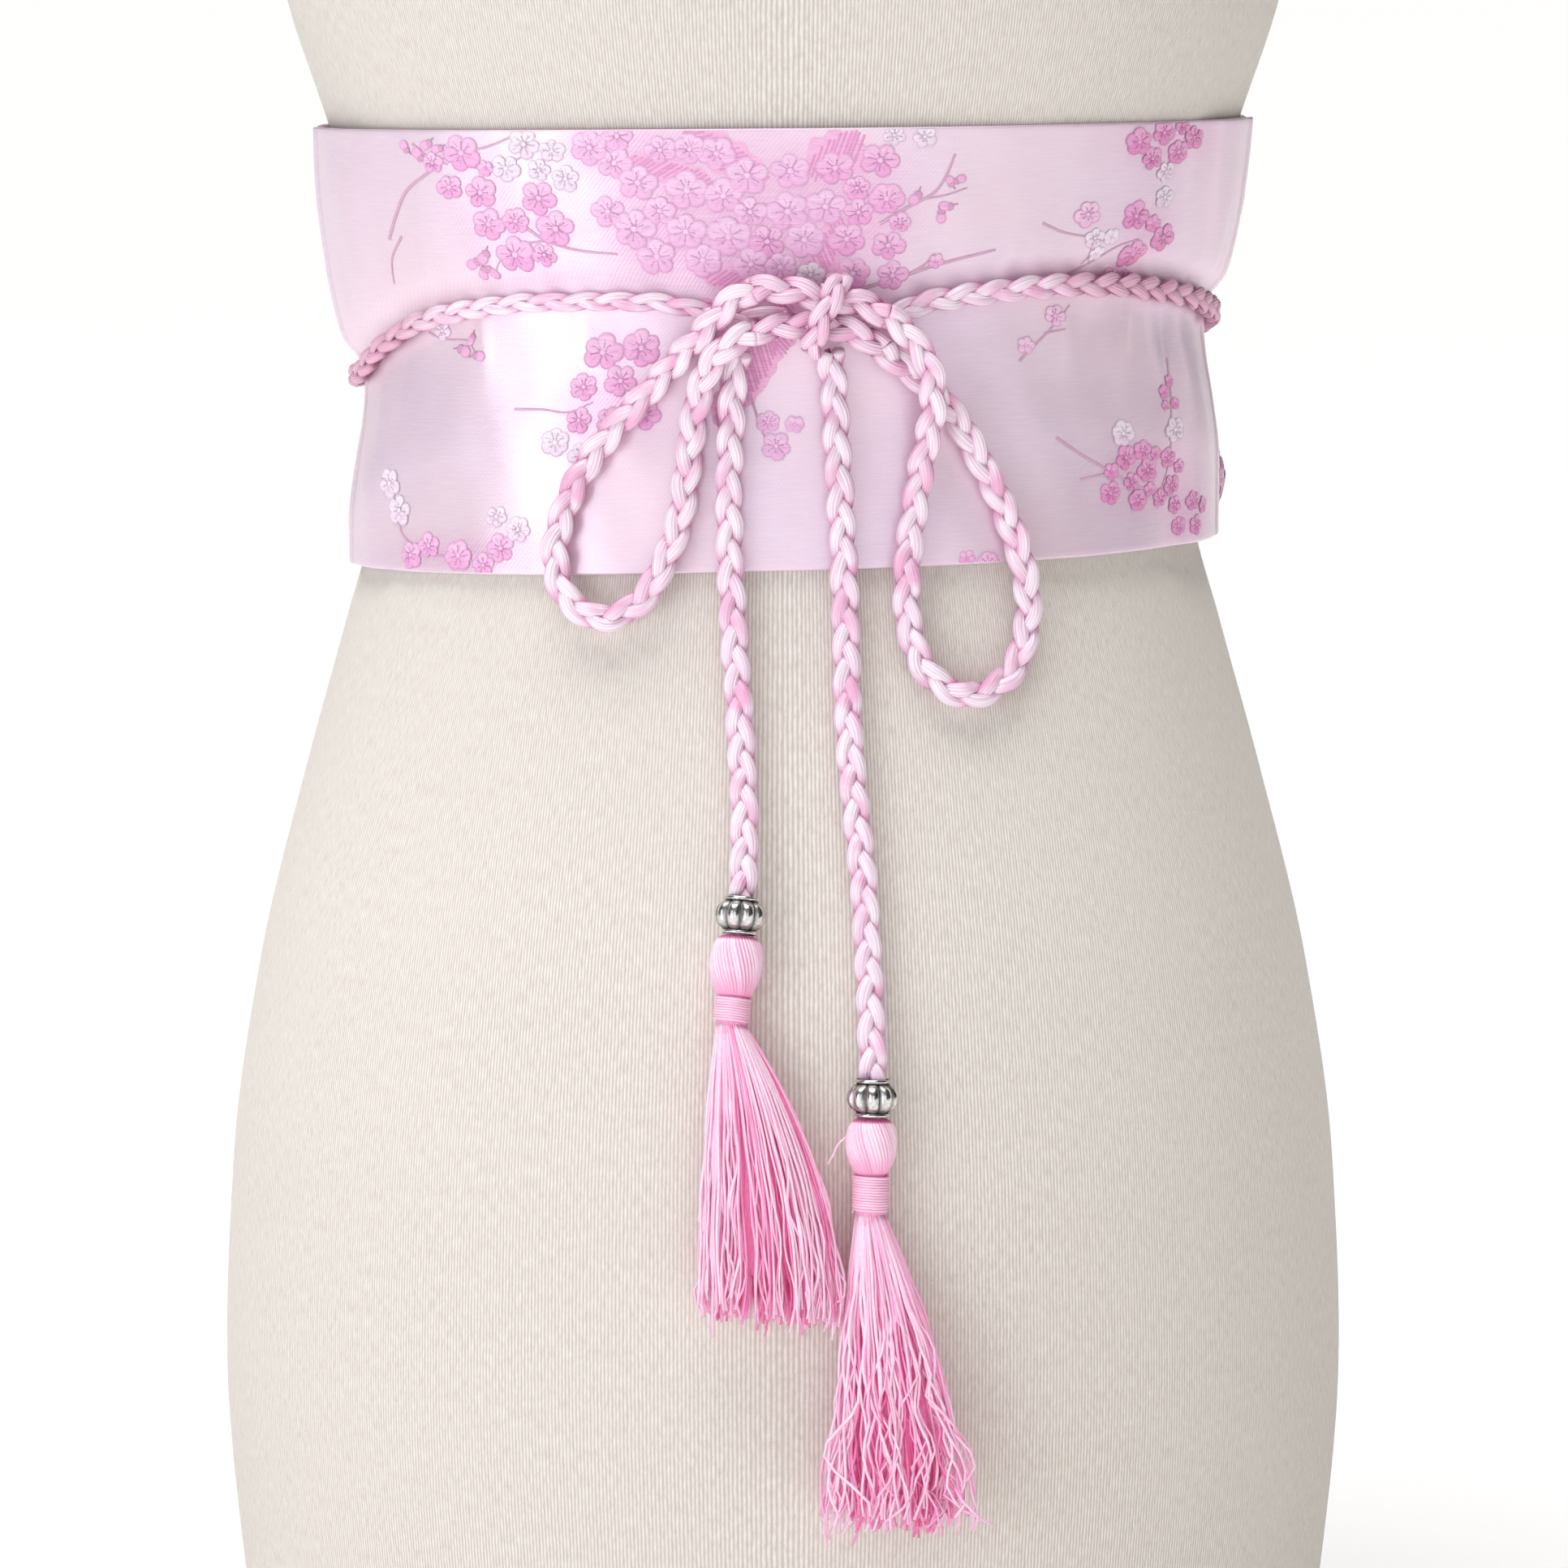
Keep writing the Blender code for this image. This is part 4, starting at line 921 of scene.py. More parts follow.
def addTail(plan, pieces):
    down = hangFrame(plan)[0]
    middle = np.array(plan["bead"])
    aboveBead = middle - down * tassel["straightAbove"]
    line = curveThrough([*plan["route"], tuple(aboveBead)])
    line = np.concatenate([line, [(middle + down * (tassel["beadToBulb"] - 0.3)) * mm]])
    end = lengthAlong(line)[-1]

    def width(s):  # a little thinner in the bead
        return braid["width"] * np.interp(s, [0, end - 0.016, end - 0.009, 1], [1, 1, 0.96, 0.96])

    grids, path = braidGrids(line, outOfFront, plan["seed"] + 50, width=width, phase=0.4)
    name = "tail" + plan["side"]
    made = addPiece(name, meshOfGrids(name, grids, tinted=True), rayon, ["tail_" + plan["node"]])


for plan in tasselPlans:
    addTail(plan, [addBead(plan), addBinding(plan), addTassel(plan)])
print("cords done")

# ---- the sash

weave = dict(
    outerRows=96,
    innerRows=24,
    columnStep=1.35 * mm,
    hemFold=5.0 * mm,  # the cloth is turned in and sewn this far from each end
    hemRise=0.42 * mm,
    seam=0.36 * mm,
    edgePoints=5,
    bandWidth=129.0,
    rounded=0.8,  # length over which each end rounds off
    blush=0.55,  # how much pinker the ground is behind dense blossoms
)
# distances in millimetres from each end, close together at the edge and the sewn line
hemColumns = np.array([0.0, 0.12, 0.35, 0.8, 1.4, 2.2, 3.0, 3.6, 4.0, 4.3, 4.7, 5.2, 5.8, 6.6])
stitch = dict(first=2.5, every=3.1, long=2.3, high=0.16, thread=0.17, points=6, sides=5, tint="#FBEAF3")


def arcOf(stretch):  # angles along a stretch with their distance in millimetres from its middle
    ends = sash["nearHems"] if stretch == "near" else sash["farEnds"]
    angles = np.linspace(ends[0], ends[1], 1200)
    line = bandPoints(stretch, angles, 0.440, sash["cloth"])
    arc = lengthAlong(line[:, :2]) / mm
    return angles, arc - np.interp(0.0 if stretch == "near" else 180.0, angles, arc)


def hemPush(stretch, along):  # along: distances from the middle in millimetres
    arc = arcOf(stretch)[1]
    fromEnd = np.minimum(along - arc[0], arc[-1] - along) * mm
    rise = weave["hemRise"] * (1 - ease((fromEnd - weave["hemFold"]) / (0.8 * mm)))
    sewn = -weave["seam"] * np.exp(-(((fromEnd - weave["hemFold"] + 0.9 * mm) / (0.45 * mm)) ** 2))
    return rise + sewn


def clothPoints(stretch, along, share, out):  # share: 0 at the lower edge, 1 at the upper
    angles, arc = arcOf(stretch)
    angle = np.interp(along, arc, angles)
    lower, upper = bandEdges(angle)
    return bandPoints(stretch, angle, lower + share * (upper - lower), out + hemPush(stretch, along))


def satinCloth():
    # Polyester satin, woven weft-faced: long glossy floats along the band, so light spreads over it in bars.
    thread = dict(warm="#F6DDE8", cool="#EFDAEB", blush="#EFB4DA", float="#FAEAF4", rib="#E3B2CF")
    made, tree, shader = newMaterial(
        "weft-faced polyester satin", Metallic=0.45, Roughness=0.42, IOR=1.45, Anisotropic=0.8,
        Anisotropic_Rotation=0.25, Coat_Weight=0.4, Coat_IOR=1.5, Coat_Roughness=0.3,
    )
    place, blush = uvPlace(tree), tintNode(tree).outputs["Fac"]
    # floats 0.5 mm apart and about 8 mm long
    floats = noise(tree, stretched(tree, place, (125.0, 2000.0, 1.0)), 1.0, 3.0, Roughness=0.55)
    # twill ribs 1 mm apart, drawn coarser than the real ones so that they show
    slanted = stretched(tree, place, (1.0, 1.0, 1.0), lean=38)
    twill = addNode(tree, "TexWave", {"Vector": slanted, "Scale": 314.0, "Distortion": 0.6, "Detail": 1.0})
    shade = remap(tree, noise(tree, place, 22.0), 0.35, 0.65)
    ground = mixColours(tree, shade, thread["cool"], thread["warm"])
    ground = mixColours(tree, blush, ground, thread["blush"])
    ground = mixColours(tree, remap(tree, floats, 0.4, 0.75, 0.0, 0.5), ground, thread["float"])
    ribs = maths(tree, "MULTIPLY", twill.outputs["Fac"], maths(tree, "ADD", blush, 0.25))
    ground = mixColours(tree, maths(tree, "MULTIPLY", ribs, 0.45), ground, thread["rib"])
    finishSurface(tree, shader, ground, maths(tree, "ADD", ribs, floats), 0.3, 0.12, threads=True)
    return made


satin = satinCloth()

# clusters of blossoms in the flat cloth: along the band from the middle of the stretch, up from its lower
# edge, reach along and up, how many, largest and smallest blossom, what kinds
clusters = [
    (-90, 116, 9, 7, 5, 11.5, 5.0, "lilac"), (-71, 101, 13, 9, 8, 12.0, 7.0, "lilac"),
    (-70, 118, 13, 7, 5, 9.5, 7.0, "pearl"), (-83, 104, 5, 6, 2, 9.0, 7.5, "pearl"),
    (-101, 124, 6, 3, 4, 4.0, 3.2, "bud"), (-86, 90, 4, 4, 5, 4.2, 3.2, "bud"),
    (-45, 124, 14, 5, 7, 10.5, 7.5, "blush"), (-27, 108, 21, 18, 24, 12.5, 7.5, "blush"),
    (-24, 96, 20, 9, 12, 12.5, 8.0, "lilac"), (-44, 104, 7, 9, 4, 9.0, 7.0, "pearl"),
    (-2, 104, 14, 17, 14, 12.0, 7.5, "blush"), (18, 113, 12, 9, 10, 11.0, 7.0, "lilac"),
    (23, 100, 9, 8, 7, 10.5, 6.5, "lilac"), (25, 86, 7, 5, 5, 10.5, 7.0, "lilac"),
    (8, 92, 4, 6, 3, 10.0, 7.0, "pearl"), (33, 127, 7, 2, 4, 7.0, 5.0, "pearl"),
    (43, 108, 8, 8, 5, 4.0, 3.0, "bud"), (41, 90, 3, 3, 1, 5.0, 4.5, "lilac"),
    (112, 123, 14, 6, 10, 9.0, 6.0, "rose"), (114, 111, 4, 7, 5, 7.5, 6.0, "pearl"),
    (108, 96, 8, 8, 8, 10.0, 6.0, "rose"), (87, 101, 2, 2, 1, 8.5, 8.0, "ring"),
    (92, 94, 5, 4, 3, 6.5, 5.0, "pearl"), (104, 84, 6, 4, 4, 7.0, 5.0, "rose"),
    (85, 73, 3, 3, 2, 7.0, 6.0, "ring"), (72, 62, 2, 2, 1, 6.0, 5.5, "ring"),
    (112, 22, 15, 9, 16, 8.0, 4.5, "rose"), (104, 33, 4, 3, 2, 8.5, 7.5, "pearl"),
    (124, 31, 5, 5, 3, 9.0, 7.0, "pearl"), (124, 44, 3, 9, 6, 4.8, 3.4, "rose"),
    (132, 10, 9, 7, 8, 7.0, 5.0, "rose"), (57, 1, 5, 2, 2, 7.0, 5.0, "lilac"),
    (-121, 19, 5, 9, 4, 10.0, 8.0, "pearl"), (-98, 6, 18, 4, 8, 9.5, 6.5, "lilac"),
    (-80, 16, 9, 4, 3, 8.0, 6.5, "pearl"), (-47, 68, 13, 5, 5, 12.5, 9.0, "lilac"),
    (-50, 50, 12, 8, 9, 10.0, 6.0, "lilac"), (-62, 38, 6, 8, 4, 9.0, 7.5, "pearl"),
    (-95, 65, 4, 3, 3, 4.4, 3.4, "bud"), (-107, 69, 4, 3, 2, 6.5, 5.5, "pearl"),
    (-20, 72, 6, 5, 3, 10.0, 7.0, "lilac"), (-1, 40, 6, 5, 3, 8.5, 6.0, "blush"),
]

# twigs as points along and up, with their thickness
twigs = [
    (0.75, [(-117, 97), (-113, 104), (-108, 111), (-99, 117), (-91, 122), (-81, 124), (-71, 128)]),
    (0.6, [(-91, 122), (-84, 118), (-76, 119), (-69, 122)]), (0.55, [(-104, 125), (-99, 121), (-93, 119)]),
    (0.75, [(-74, 103), (-66, 97), (-56, 94), (-46, 93)]),
    (0.5, [(-66, 97), (-73, 96), (-80, 92), (-84, 87)]),
    (0.8, [(26, 101), (34, 106), (41, 110), (44, 115), (46, 121)]), (0.5, [(38, 108), (44, 109), (50, 111)]),
    (0.9, [(22, 82), (32, 85), (45, 89), (60, 92.5)]), (0.6, [(35, 86), (40, 89), (42, 92)]),
    (0.6, [(73, 100), (80, 97), (88, 95.5), (94, 95)]), (0.6, [(84, 83), (92, 87), (99, 92), (106, 94)]),
    (0.5, [(88, 95), (91, 90), (90, 87)]), (0.6, [(70, 59), (76, 64), (82, 69), (88, 75)]),
    (0.5, [(79, 67), (86, 68)]), (0.65, [(80, 36), (89, 30), (98, 25), (108, 20), (120, 16)]),
    (0.5, [(88, 23), (97, 24), (106, 21)]), (0.6, [(126, 57), (125, 48), (123, 38), (122, 26), (118, 16)]),
    (0.55, [(-79, 48), (-71, 48), (-63, 47), (-55, 50)]),
    (0.5, [(-113, 70), (-106, 68), (-98, 68), (-93, 63)]),
    (0.6, [(-128, 27), (-122, 20), (-119, 11), (-108, 6), (-92, 4)]),
    (0.7, [(-14, 60), (-9, 50), (-6, 41), (-2, 33)]), (0.6, [(-112, 98), (-118, 90), (-119, 84)]),
]

# ribbed stems: middle along and up, half length, half width, lean in degrees
stems = [
    (-15, 121, 13, 5.5, -38), (14, 121, 8, 7.5, 20), (11, 92, 12, 4.5, 62), (-11, 84, 13, 4.5, -18),
    (16, 82, 10, 5, -35), (-10, 57, 17, 6, 55), (-30, 117, 12, 4, -20), (0, 72, 9, 5, 80),
]

# low: the colour of painted shade on petals that point down
blossomColours = dict(
    rose=dict(fill="#F0B0D8", low="#E78EC4", rim="#D47BB0", dot="#C56FA2"),
    lilac=dict(fill="#F6C6E4", low="#F0A9D7", rim="#DC92C4", dot="#CE86BA"),
    blush=dict(fill="#F6CDE9", low="#F1B9DF", rim="#E3A3D0", dot="#D897C6"),
    pearl=dict(fill="#F8EAF4", low="#F1DAEA", rim="#D6BACF", dot="#CDB0C6"),
    ring=dict(fill="#F4D3E7", low="#F2C6E2", rim="#DF93C3", dot="#D784B9"),
)
motif = dict(
    lift=0.08,
    dome=0.16,
    step=1.6,  # between the points of a twig
    repeat=262.0,  # along the far stretch
    repeatShift=-38.0,
    tuck=0.6,  # the pattern stops this far from the cloth's edges
    tries=40,
    twig="#C48EAC",
    # a painted highlight along the crests of twigs
    twigHighlight="#E2B6D0",
    calyx="#DA9CC4",
    stem="#F5B9DC",
    stemRib="#DB80BC",
    # a painted highlight along the crests of stem ribs
    stemRibHighlight="#EFA6D2",
)


def away(point, heading, distance, squash=1.0):
    return point[0] + distance * math.cos(heading), point[1] + distance * squash * math.sin(heading)


def plain(colour, rim=None):
    return dict(fill=colour, low=colour, rim=rim or colour)


def addFlat(flat, points, faces, tints):
    base = len(flat["points"])
    flat["points"] += [tuple(p) for p in points]
    flat["tints"] += [tuple(t) for t in tints]
    flat["faces"] += [tuple(base + i for i in face) for face in faces]


def discFaces(count, rings):  # a fan round point 0, then faces from ring to ring
    faces = [(0, 1 + i, 1 + (i + 1) % count) for i in range(count)]
    for a in range(1, 1 + (rings - 1) * count, count):
        b = a + count
        faces += [(a + i, b + i, b + (i + 1) % count, a + (i + 1) % count) for i in range(count)]
    return faces


def addPetal(flat, middle, heading, long, wide, colours, level, deep):
    count = int(np.clip(6 + 2.4 * long, 6, 12))
    rings = [(0.70, 0.85, "fill"), (0.88, 0.55, "rim"), (1.0, 0.05, "rim")]
    if long < 0.5:
        rings = [(1.0, 0.3, "rim")]
    # deep mixes in the low colour: painted shade where petals point down
    fill = blend(flatColour(colours["fill"]), flatColour(colours["low"]), deep)
    rim = flatColour(colours["rim"])
    points, tints = [(*middle, level + motif["dome"])], [fill]
    for size, high, kind in rings:
        for p in circle(count):
            x, y = size * long * math.cos(p), size * wide * math.sin(p) * (1 + 0.12 * math.cos(p))
            u = middle[0] + x * math.cos(heading) - y * math.sin(heading)
            v = middle[1] + x * math.sin(heading) + y * math.cos(heading)
            points.append((u, v, level + motif["dome"] * high))
            below = 0.65 * (0.5 - 0.5 * (v - middle[1]) / max(long, wide))  # painted shade: outlines are darker on the lower side
            tints.append(fill if kind == "fill" else rim * (0.35 + below) + fill * (0.65 - below))
    addFlat(flat, points, discFaces(count, len(rings)), tints)


def addRibbon(flat, line, thick, tint, level, crestHighlight=None):  # a woven line with a rounded top, its crest coloured lighter as a painted highlight
    line = np.array(line, float)
    forward = unit(np.gradient(line, axis=0))
    side = np.stack([-forward[:, 1], forward[:, 0]], axis=1)
    count = len(line)
    half = np.broadcast_to(thick / 2, (count,))
    points, tints = [], []
    crestHighlight = tint if crestHighlight is None else crestHighlight
    # painted highlight: the middle row, at the crest, takes the lighter tint
    for across, high, shade in ((-1, 0.0, tint), (0, motif["dome"] * 0.6, crestHighlight), (1, 0.0, tint)):
        for p, s, h in zip(line, side, half):
            points.append((p[0] + s[0] * h * across, p[1] + s[1] * h * across, level + high))
            tints.append(shade)
    faces = []
    for a in (0, count):
        faces += [(a + i + 1, a + i, a + count + i, a + count + i + 1) for i in range(count - 1)]
    addFlat(flat, points, faces, tints)


def addDash(flat, start, end, thick, tint, level, bow=0.0):  # a short ribbon, a little bent
    middle = ((start[0] + end[0]) / 2, (start[1] + end[1]) / 2 + bow)
    addRibbon(flat, [start, middle, end], thick, tint, level)


def smoothLine(points):
    points = np.array(points, float)
    return softened(points, max(3, int(lengthAlong(points)[-1] / motif["step"])))


def addBlossom(flat, draw, middle, size, kind, level):
    colours = blossomColours[kind]
    dot = colours["dot"]
    vein = 0.5 * (flatColour(colours["low"]) + flatColour(colours["rim"]))
    r = size / 2
    start = draw.uniform(0, fullTurn)
    squash = draw.uniform(0.8, 1.0)
    petals = 6 if draw.random() < 0.2 else 5
    for i in range(petals):
        heading = start + i * fullTurn / petals + draw.uniform(-0.13, 0.13)
        full = draw.uniform(0.84, 1.08)
        petal = away(middle, heading, 0.57 * r, squash)
        # painted shade: petals that point down take more of the low colour
        deep = 0.5 - 0.5 * math.sin(heading)
        addPetal(flat, petal, heading, 0.46 * r * full, 0.45 * r * full, colours, level + 0.02 * i, deep)
        if size > 7:  # a vein up the petal
            inner, outer = away(middle, heading, 0.34 * r), away(middle, heading + 0.12, 0.74 * r, squash)
            addDash(flat, inner, outer, 0.26, vein, level + motif["dome"] + 0.02 * i)
    addPetal(flat, middle, start, 0.17 * r, 0.17 * r, plain(colours["fill"], dot), level + 0.1, 0.0)
    if size > 6:
        for i in range(7):  # stamens with their tips
            heading = start + (i + 0.5) * fullTurn / 7 + draw.uniform(-0.2, 0.2)
            tip = away(middle, heading, draw.uniform(0.36, 0.62) * r)
            foot = away(middle, heading, 0.2 * r)
            addDash(flat, foot, tip, 0.30, flatColour(dot), level + motif["dome"] + 0.06)
            addPetal(flat, tip, 0.0, 0.34, 0.34, plain(dot), level + 0.16, 0.0)


def addBud(flat, draw, middle, size, level):
    heading = draw.uniform(0, fullTurn)
    addPetal(flat, middle, heading, 0.5 * size, 0.40 * size, blossomColours["lilac"], level, 0.6)
    back = away(middle, heading, -0.45 * size)
    calyx = plain(motif["calyx"], motif["twig"])
    addPetal(flat, back, heading, 0.28 * size, 0.34 * size, calyx, level + 0.03, 0.0)
    tip = away(back, heading + 0.4, -0.6 * size)
    addDash(flat, tip, back, 0.45, flatColour(motif["twig"]), level, bow=0.2)


def addStem(flat, draw, u, v, long, wide, lean, level):
    lean = math.radians(lean)
    c, s = math.cos(lean), math.sin(lean)

    def place(x, y):
        return (u + x * c - y * s, v + x * s + y * c)

    def half(x):
        return wide * math.sqrt(max(0.0, 1 - (x / long) ** 2))

    ends = np.linspace(-long, long, 16), np.linspace(long, -long, 16)[1:-1]
    outline = [place(x, half(x) * (1 + 0.15 * math.sin(x))) for x in ends[0]]
    outline += [place(x, -half(x) * (1 + 0.15 * math.cos(1.3 * x))) for x in ends[1]]
    x, y = place(0, 0)
    rings = [[(x + (p[0] - x) * k, y + (p[1] - y) * k) for p in outline] for k in (0.34, 0.67, 1.0)]
    points = [(x, y, level)] + [(*p, level) for ring in rings for p in ring]
    # the outline runs clockwise, so the faces are turned over
    faces = [(face[0], *face[:0:-1]) for face in discFaces(len(outline), len(rings))]
    addFlat(flat, points, faces, [flatColour(motif["stem"])] * len(points))
    slope = lean + math.radians(52)
    ribTint, ribHighlight = flatColour(motif["stemRib"]), flatColour(motif["stemRibHighlight"])
    for x in np.arange(-long + 1.2, long - 0.8, 1.45):
        h = half(x) * draw.uniform(0.75, 1.0)
        middle = place(x, draw.uniform(-0.4, 0.4))
        rib = [away(middle, slope, k * h) for k in (-1, -0.33, 0.33, 1)]
        addRibbon(flat, rib, 0.62, ribTint, level + 0.03, ribHighlight)


def flatPattern(seed, copies):  # the woven pattern in the flat cloth, repeated along it
    draw = np.random.default_rng(seed)
    flat, taken = dict(points=[], faces=[], tints=[]), []
    twigTint, twigHighlight = flatColour(motif["twig"]), flatColour(motif["twigHighlight"])
    for shift in copies:
        for u, v, long, wide, lean in stems:
            addStem(flat, draw, u + shift, v, long, wide, lean, motif["lift"])
        for thick, line in twigs:
            line = smoothLine([(u + shift, v) for u, v in line])
            taper = thick * np.linspace(1.4, 0.8, len(line))
            addRibbon(flat, line, taper, twigTint, motif["lift"] + 0.03, twigHighlight)
        for u, v, reachU, reachV, count, largest, smallest, kind in clusters:
            crowd = 0.38 if kind == "blush" else 0.44
            for n in range(count):
                size = largest - (largest - smallest) * n / max(1, count - 1)
                for _ in range(motif["tries"]):
                    a, r = draw.uniform(0, fullTurn), math.sqrt(draw.uniform(0, 1))
                    cu, cv = u + shift + reachU * r * math.cos(a), v + reachV * r * math.sin(a)
                    if all(math.hypot(cu - x, cv - y) > crowd * (size + s) for x, y, s in taken):
                        break
                else:
                    continue
                taken.append((cu, cv, size))
                level = motif["lift"] + 0.05 + 0.02 * draw.integers(0, 6)
                if kind == "bud":
                    addBud(flat, draw, (cu, cv), size, level)
                else:
                    addBlossom(flat, draw, (cu, cv), size, kind, level)
    return flat


def wovenFloats():
    # Supplementary rayon wefts, floated over the satin to draw blossoms: soft sheen, slightly raised.
    made, tree, shader = newMaterial(
        "brocaded rayon floats", Roughness=0.42, IOR=1.52, Specular_IOR_Level=0.6, Sheen_Weight=0.3,
        Sheen_Roughness=0.4,
    )
    # wefts 0.45 mm apart, drawn a little coarser than real so that they show
    floats = noise(tree, stretched(tree, uvPlace(tree), (260.0, 2200.0, 1.0), lean=12), 1.0)
    level = remap(tree, floats, 0.3, 0.7, 0.86, 1.08)
    tint = tintNode(tree).outputs["Color"]
    tone = addNode(tree, "VectorMath", {0: tint, "Scale": level}, operation="SCALE").outputs[0]
    finishSurface(tree, shader, tone, floats, 0.3, 0.1)
    return made


floatsMaterial = wovenFloats()


def addBrocade(name, stretch, seed, copies):
    arc = arcOf(stretch)[1]
    flat = flatPattern(seed, copies)
    bm = bmesh.new()
    layer = bm.verts.layers.float_color.new("tint")
    verts = []
    for point, tint in zip(flat["points"], flat["tints"]):
        v = bm.verts.new(point)
        v[layer] = (*tint, 1.0)
        verts.append(v)
    for face in flat["faces"]:
        bm.faces.new([verts[i] for i in face])
    tuck = motif["tuck"]
    for spot, normal in (
        ((0, tuck, 0), (0, -1, 0)), ((0, weave["bandWidth"] - tuck, 0), (0, 1, 0)),
        ((arc[0] + tuck, 0, 0), (-1, 0, 0)), ((arc[-1] - tuck, 0, 0), (1, 0, 0)),
    ):
        geometry = [*bm.verts, *bm.edges, *bm.faces]
        bmesh.ops.bisect_plane(bm, geom=geometry, dist=1e-5, plane_co=spot, plane_no=normal, clear_outer=True)
    mesh = bpy.data.meshes.new(name)
    bm.to_mesh(mesh)
    bm.free()
    co = np.zeros(len(mesh.vertices) * 3, np.float32)
    mesh.vertices.foreach_get("co", co)
    co = co.reshape(-1, 3).astype(float)
    uv = mesh.uv_layers.new(name="metres")
    corner = np.zeros(len(mesh.loops), np.int32)
    mesh.loops.foreach_get("vertex_index", corner)
    uv.data.foreach_set("uv", (co[corner, :2] * mm).astype(np.float32).ravel())
    placed = clothPoints(stretch, co[:, 0], co[:, 1] / weave["bandWidth"], sash["cloth"] + co[:, 2] * mm)
    mesh.vertices.foreach_set("co", placed.astype(np.float32).ravel())
    mesh.update()
    mesh.shade_smooth()
    print(name, len(mesh.polygons), "faces")
    return addPiece(name, mesh, floatsMaterial)


def addStitches(name, stretch):  # the sewn line of each hem
    arc = arcOf(stretch)[1]
    t = np.linspace(0, 1, stitch["points"])
    out = sash["cloth"] + mm * (0.02 + stitch["high"] * np.sin(math.pi * t))
    grids = []
    for end, inwards in ((arc[0], 1), (arc[-1], -1)):
        along = np.full(len(t), end + inwards * (weave["hemFold"] / mm - 0.9))
        for v in np.arange(stitch["first"], weave["bandWidth"] - stitch["first"], stitch["every"]):
            line = clothPoints(stretch, along, (v + stitch["long"] * t) / weave["bandWidth"], out)
            grids.append(threadGrid(line / mm, stitch["thread"], flatColour(stitch["tint"]), stitch["sides"]))
    return addPiece(name, meshOfGrids(name, grids, tinted=True), tasselThread)


def addSash(name, node, stretch, copies):
    arc = arcOf(stretch)[1]
    count = int((arc[-1] - arc[0] - 15) / (weave["columnStep"] / mm))
    inner = np.linspace(arc[0] + 7.6, arc[-1] - 7.6, count)
    along = np.concatenate([arc[0] + hemColumns, inner, arc[-1] - hemColumns[::-1]])
    # thickness falls away at the very ends, which rounds them
    fromEnd = np.minimum(along - arc[0], arc[-1] - along)
    thick = np.sqrt(np.clip(1 - (1 - fromEnd / weave["rounded"]) ** 2, 0, 1))
    thick[fromEnd > weave["rounded"]] = 1.0
    thick = np.maximum(thick, 0.2)
    half = sash["cloth"] / 2
    rim = half / mm / weave["bandWidth"]
    bend = np.linspace(0, math.pi, weave["edgePoints"] + 2)[1:-1]
    outer = [(s, 1.0) for s in np.linspace(rim, 1 - rim, weave["outerRows"])]
    top = [(1 - rim + rim * math.sin(b), math.cos(b)) for b in bend]
    back = [(s, -1.0) for s in np.linspace(1 - rim, rim, weave["innerRows"])]
    bottom = [(rim - rim * math.sin(b), -math.cos(b)) for b in bend]
    ring = np.array(outer + top + back + bottom)
    out = half + half * ring[None, :, 1] * thick[:, None]
    points = clothPoints(stretch, *np.broadcast_arrays(along[:, None], ring[None, :, 0]), out)
    up = ring[:, 0] * weave["bandWidth"]
    blush = np.zeros(out.shape)
    for shift in copies:
        for u, v, reachU, reachV, count, _, _, kind in clusters:
            if kind in ("blush", "lilac", "rose") and count > 6:
                aside = (along[:, None] - u - shift) / (1.25 * reachU)
                blush += weave["blush"] * softSpot(aside, (up[None, :] - v) / (1.25 * reachV))
    tint = np.repeat(np.clip(blush, 0, 0.8)[:, :, None], 3, axis=2)
    mesh = meshOfGrids(name, [grid(points, along * mm, np.append(up, up[0]) * mm, tint)], tinted=True)
    bm = bmesh.new()
    bm.from_mesh(mesh)
    bmesh.ops.holes_fill(bm, edges=bm.edges, sides=0)
    bmesh.ops.recalc_face_normals(bm, faces=bm.faces)
    bm.to_mesh(mesh)
    bm.free()
    made = addPiece(name, mesh, satin, [node])


nearPieces = [addBrocade("brocadeNear", "near", 41, [0.0]), addStitches("stitchesNear", "near")]
farCopies = [motif["repeatShift"] + motif["repeat"] * k for k in (-1, 0, 1)]
farPieces = [addBrocade("brocadeFar", "far", 42, farCopies), addStitches("stitchesFar", "far")]

# ---- the dress form

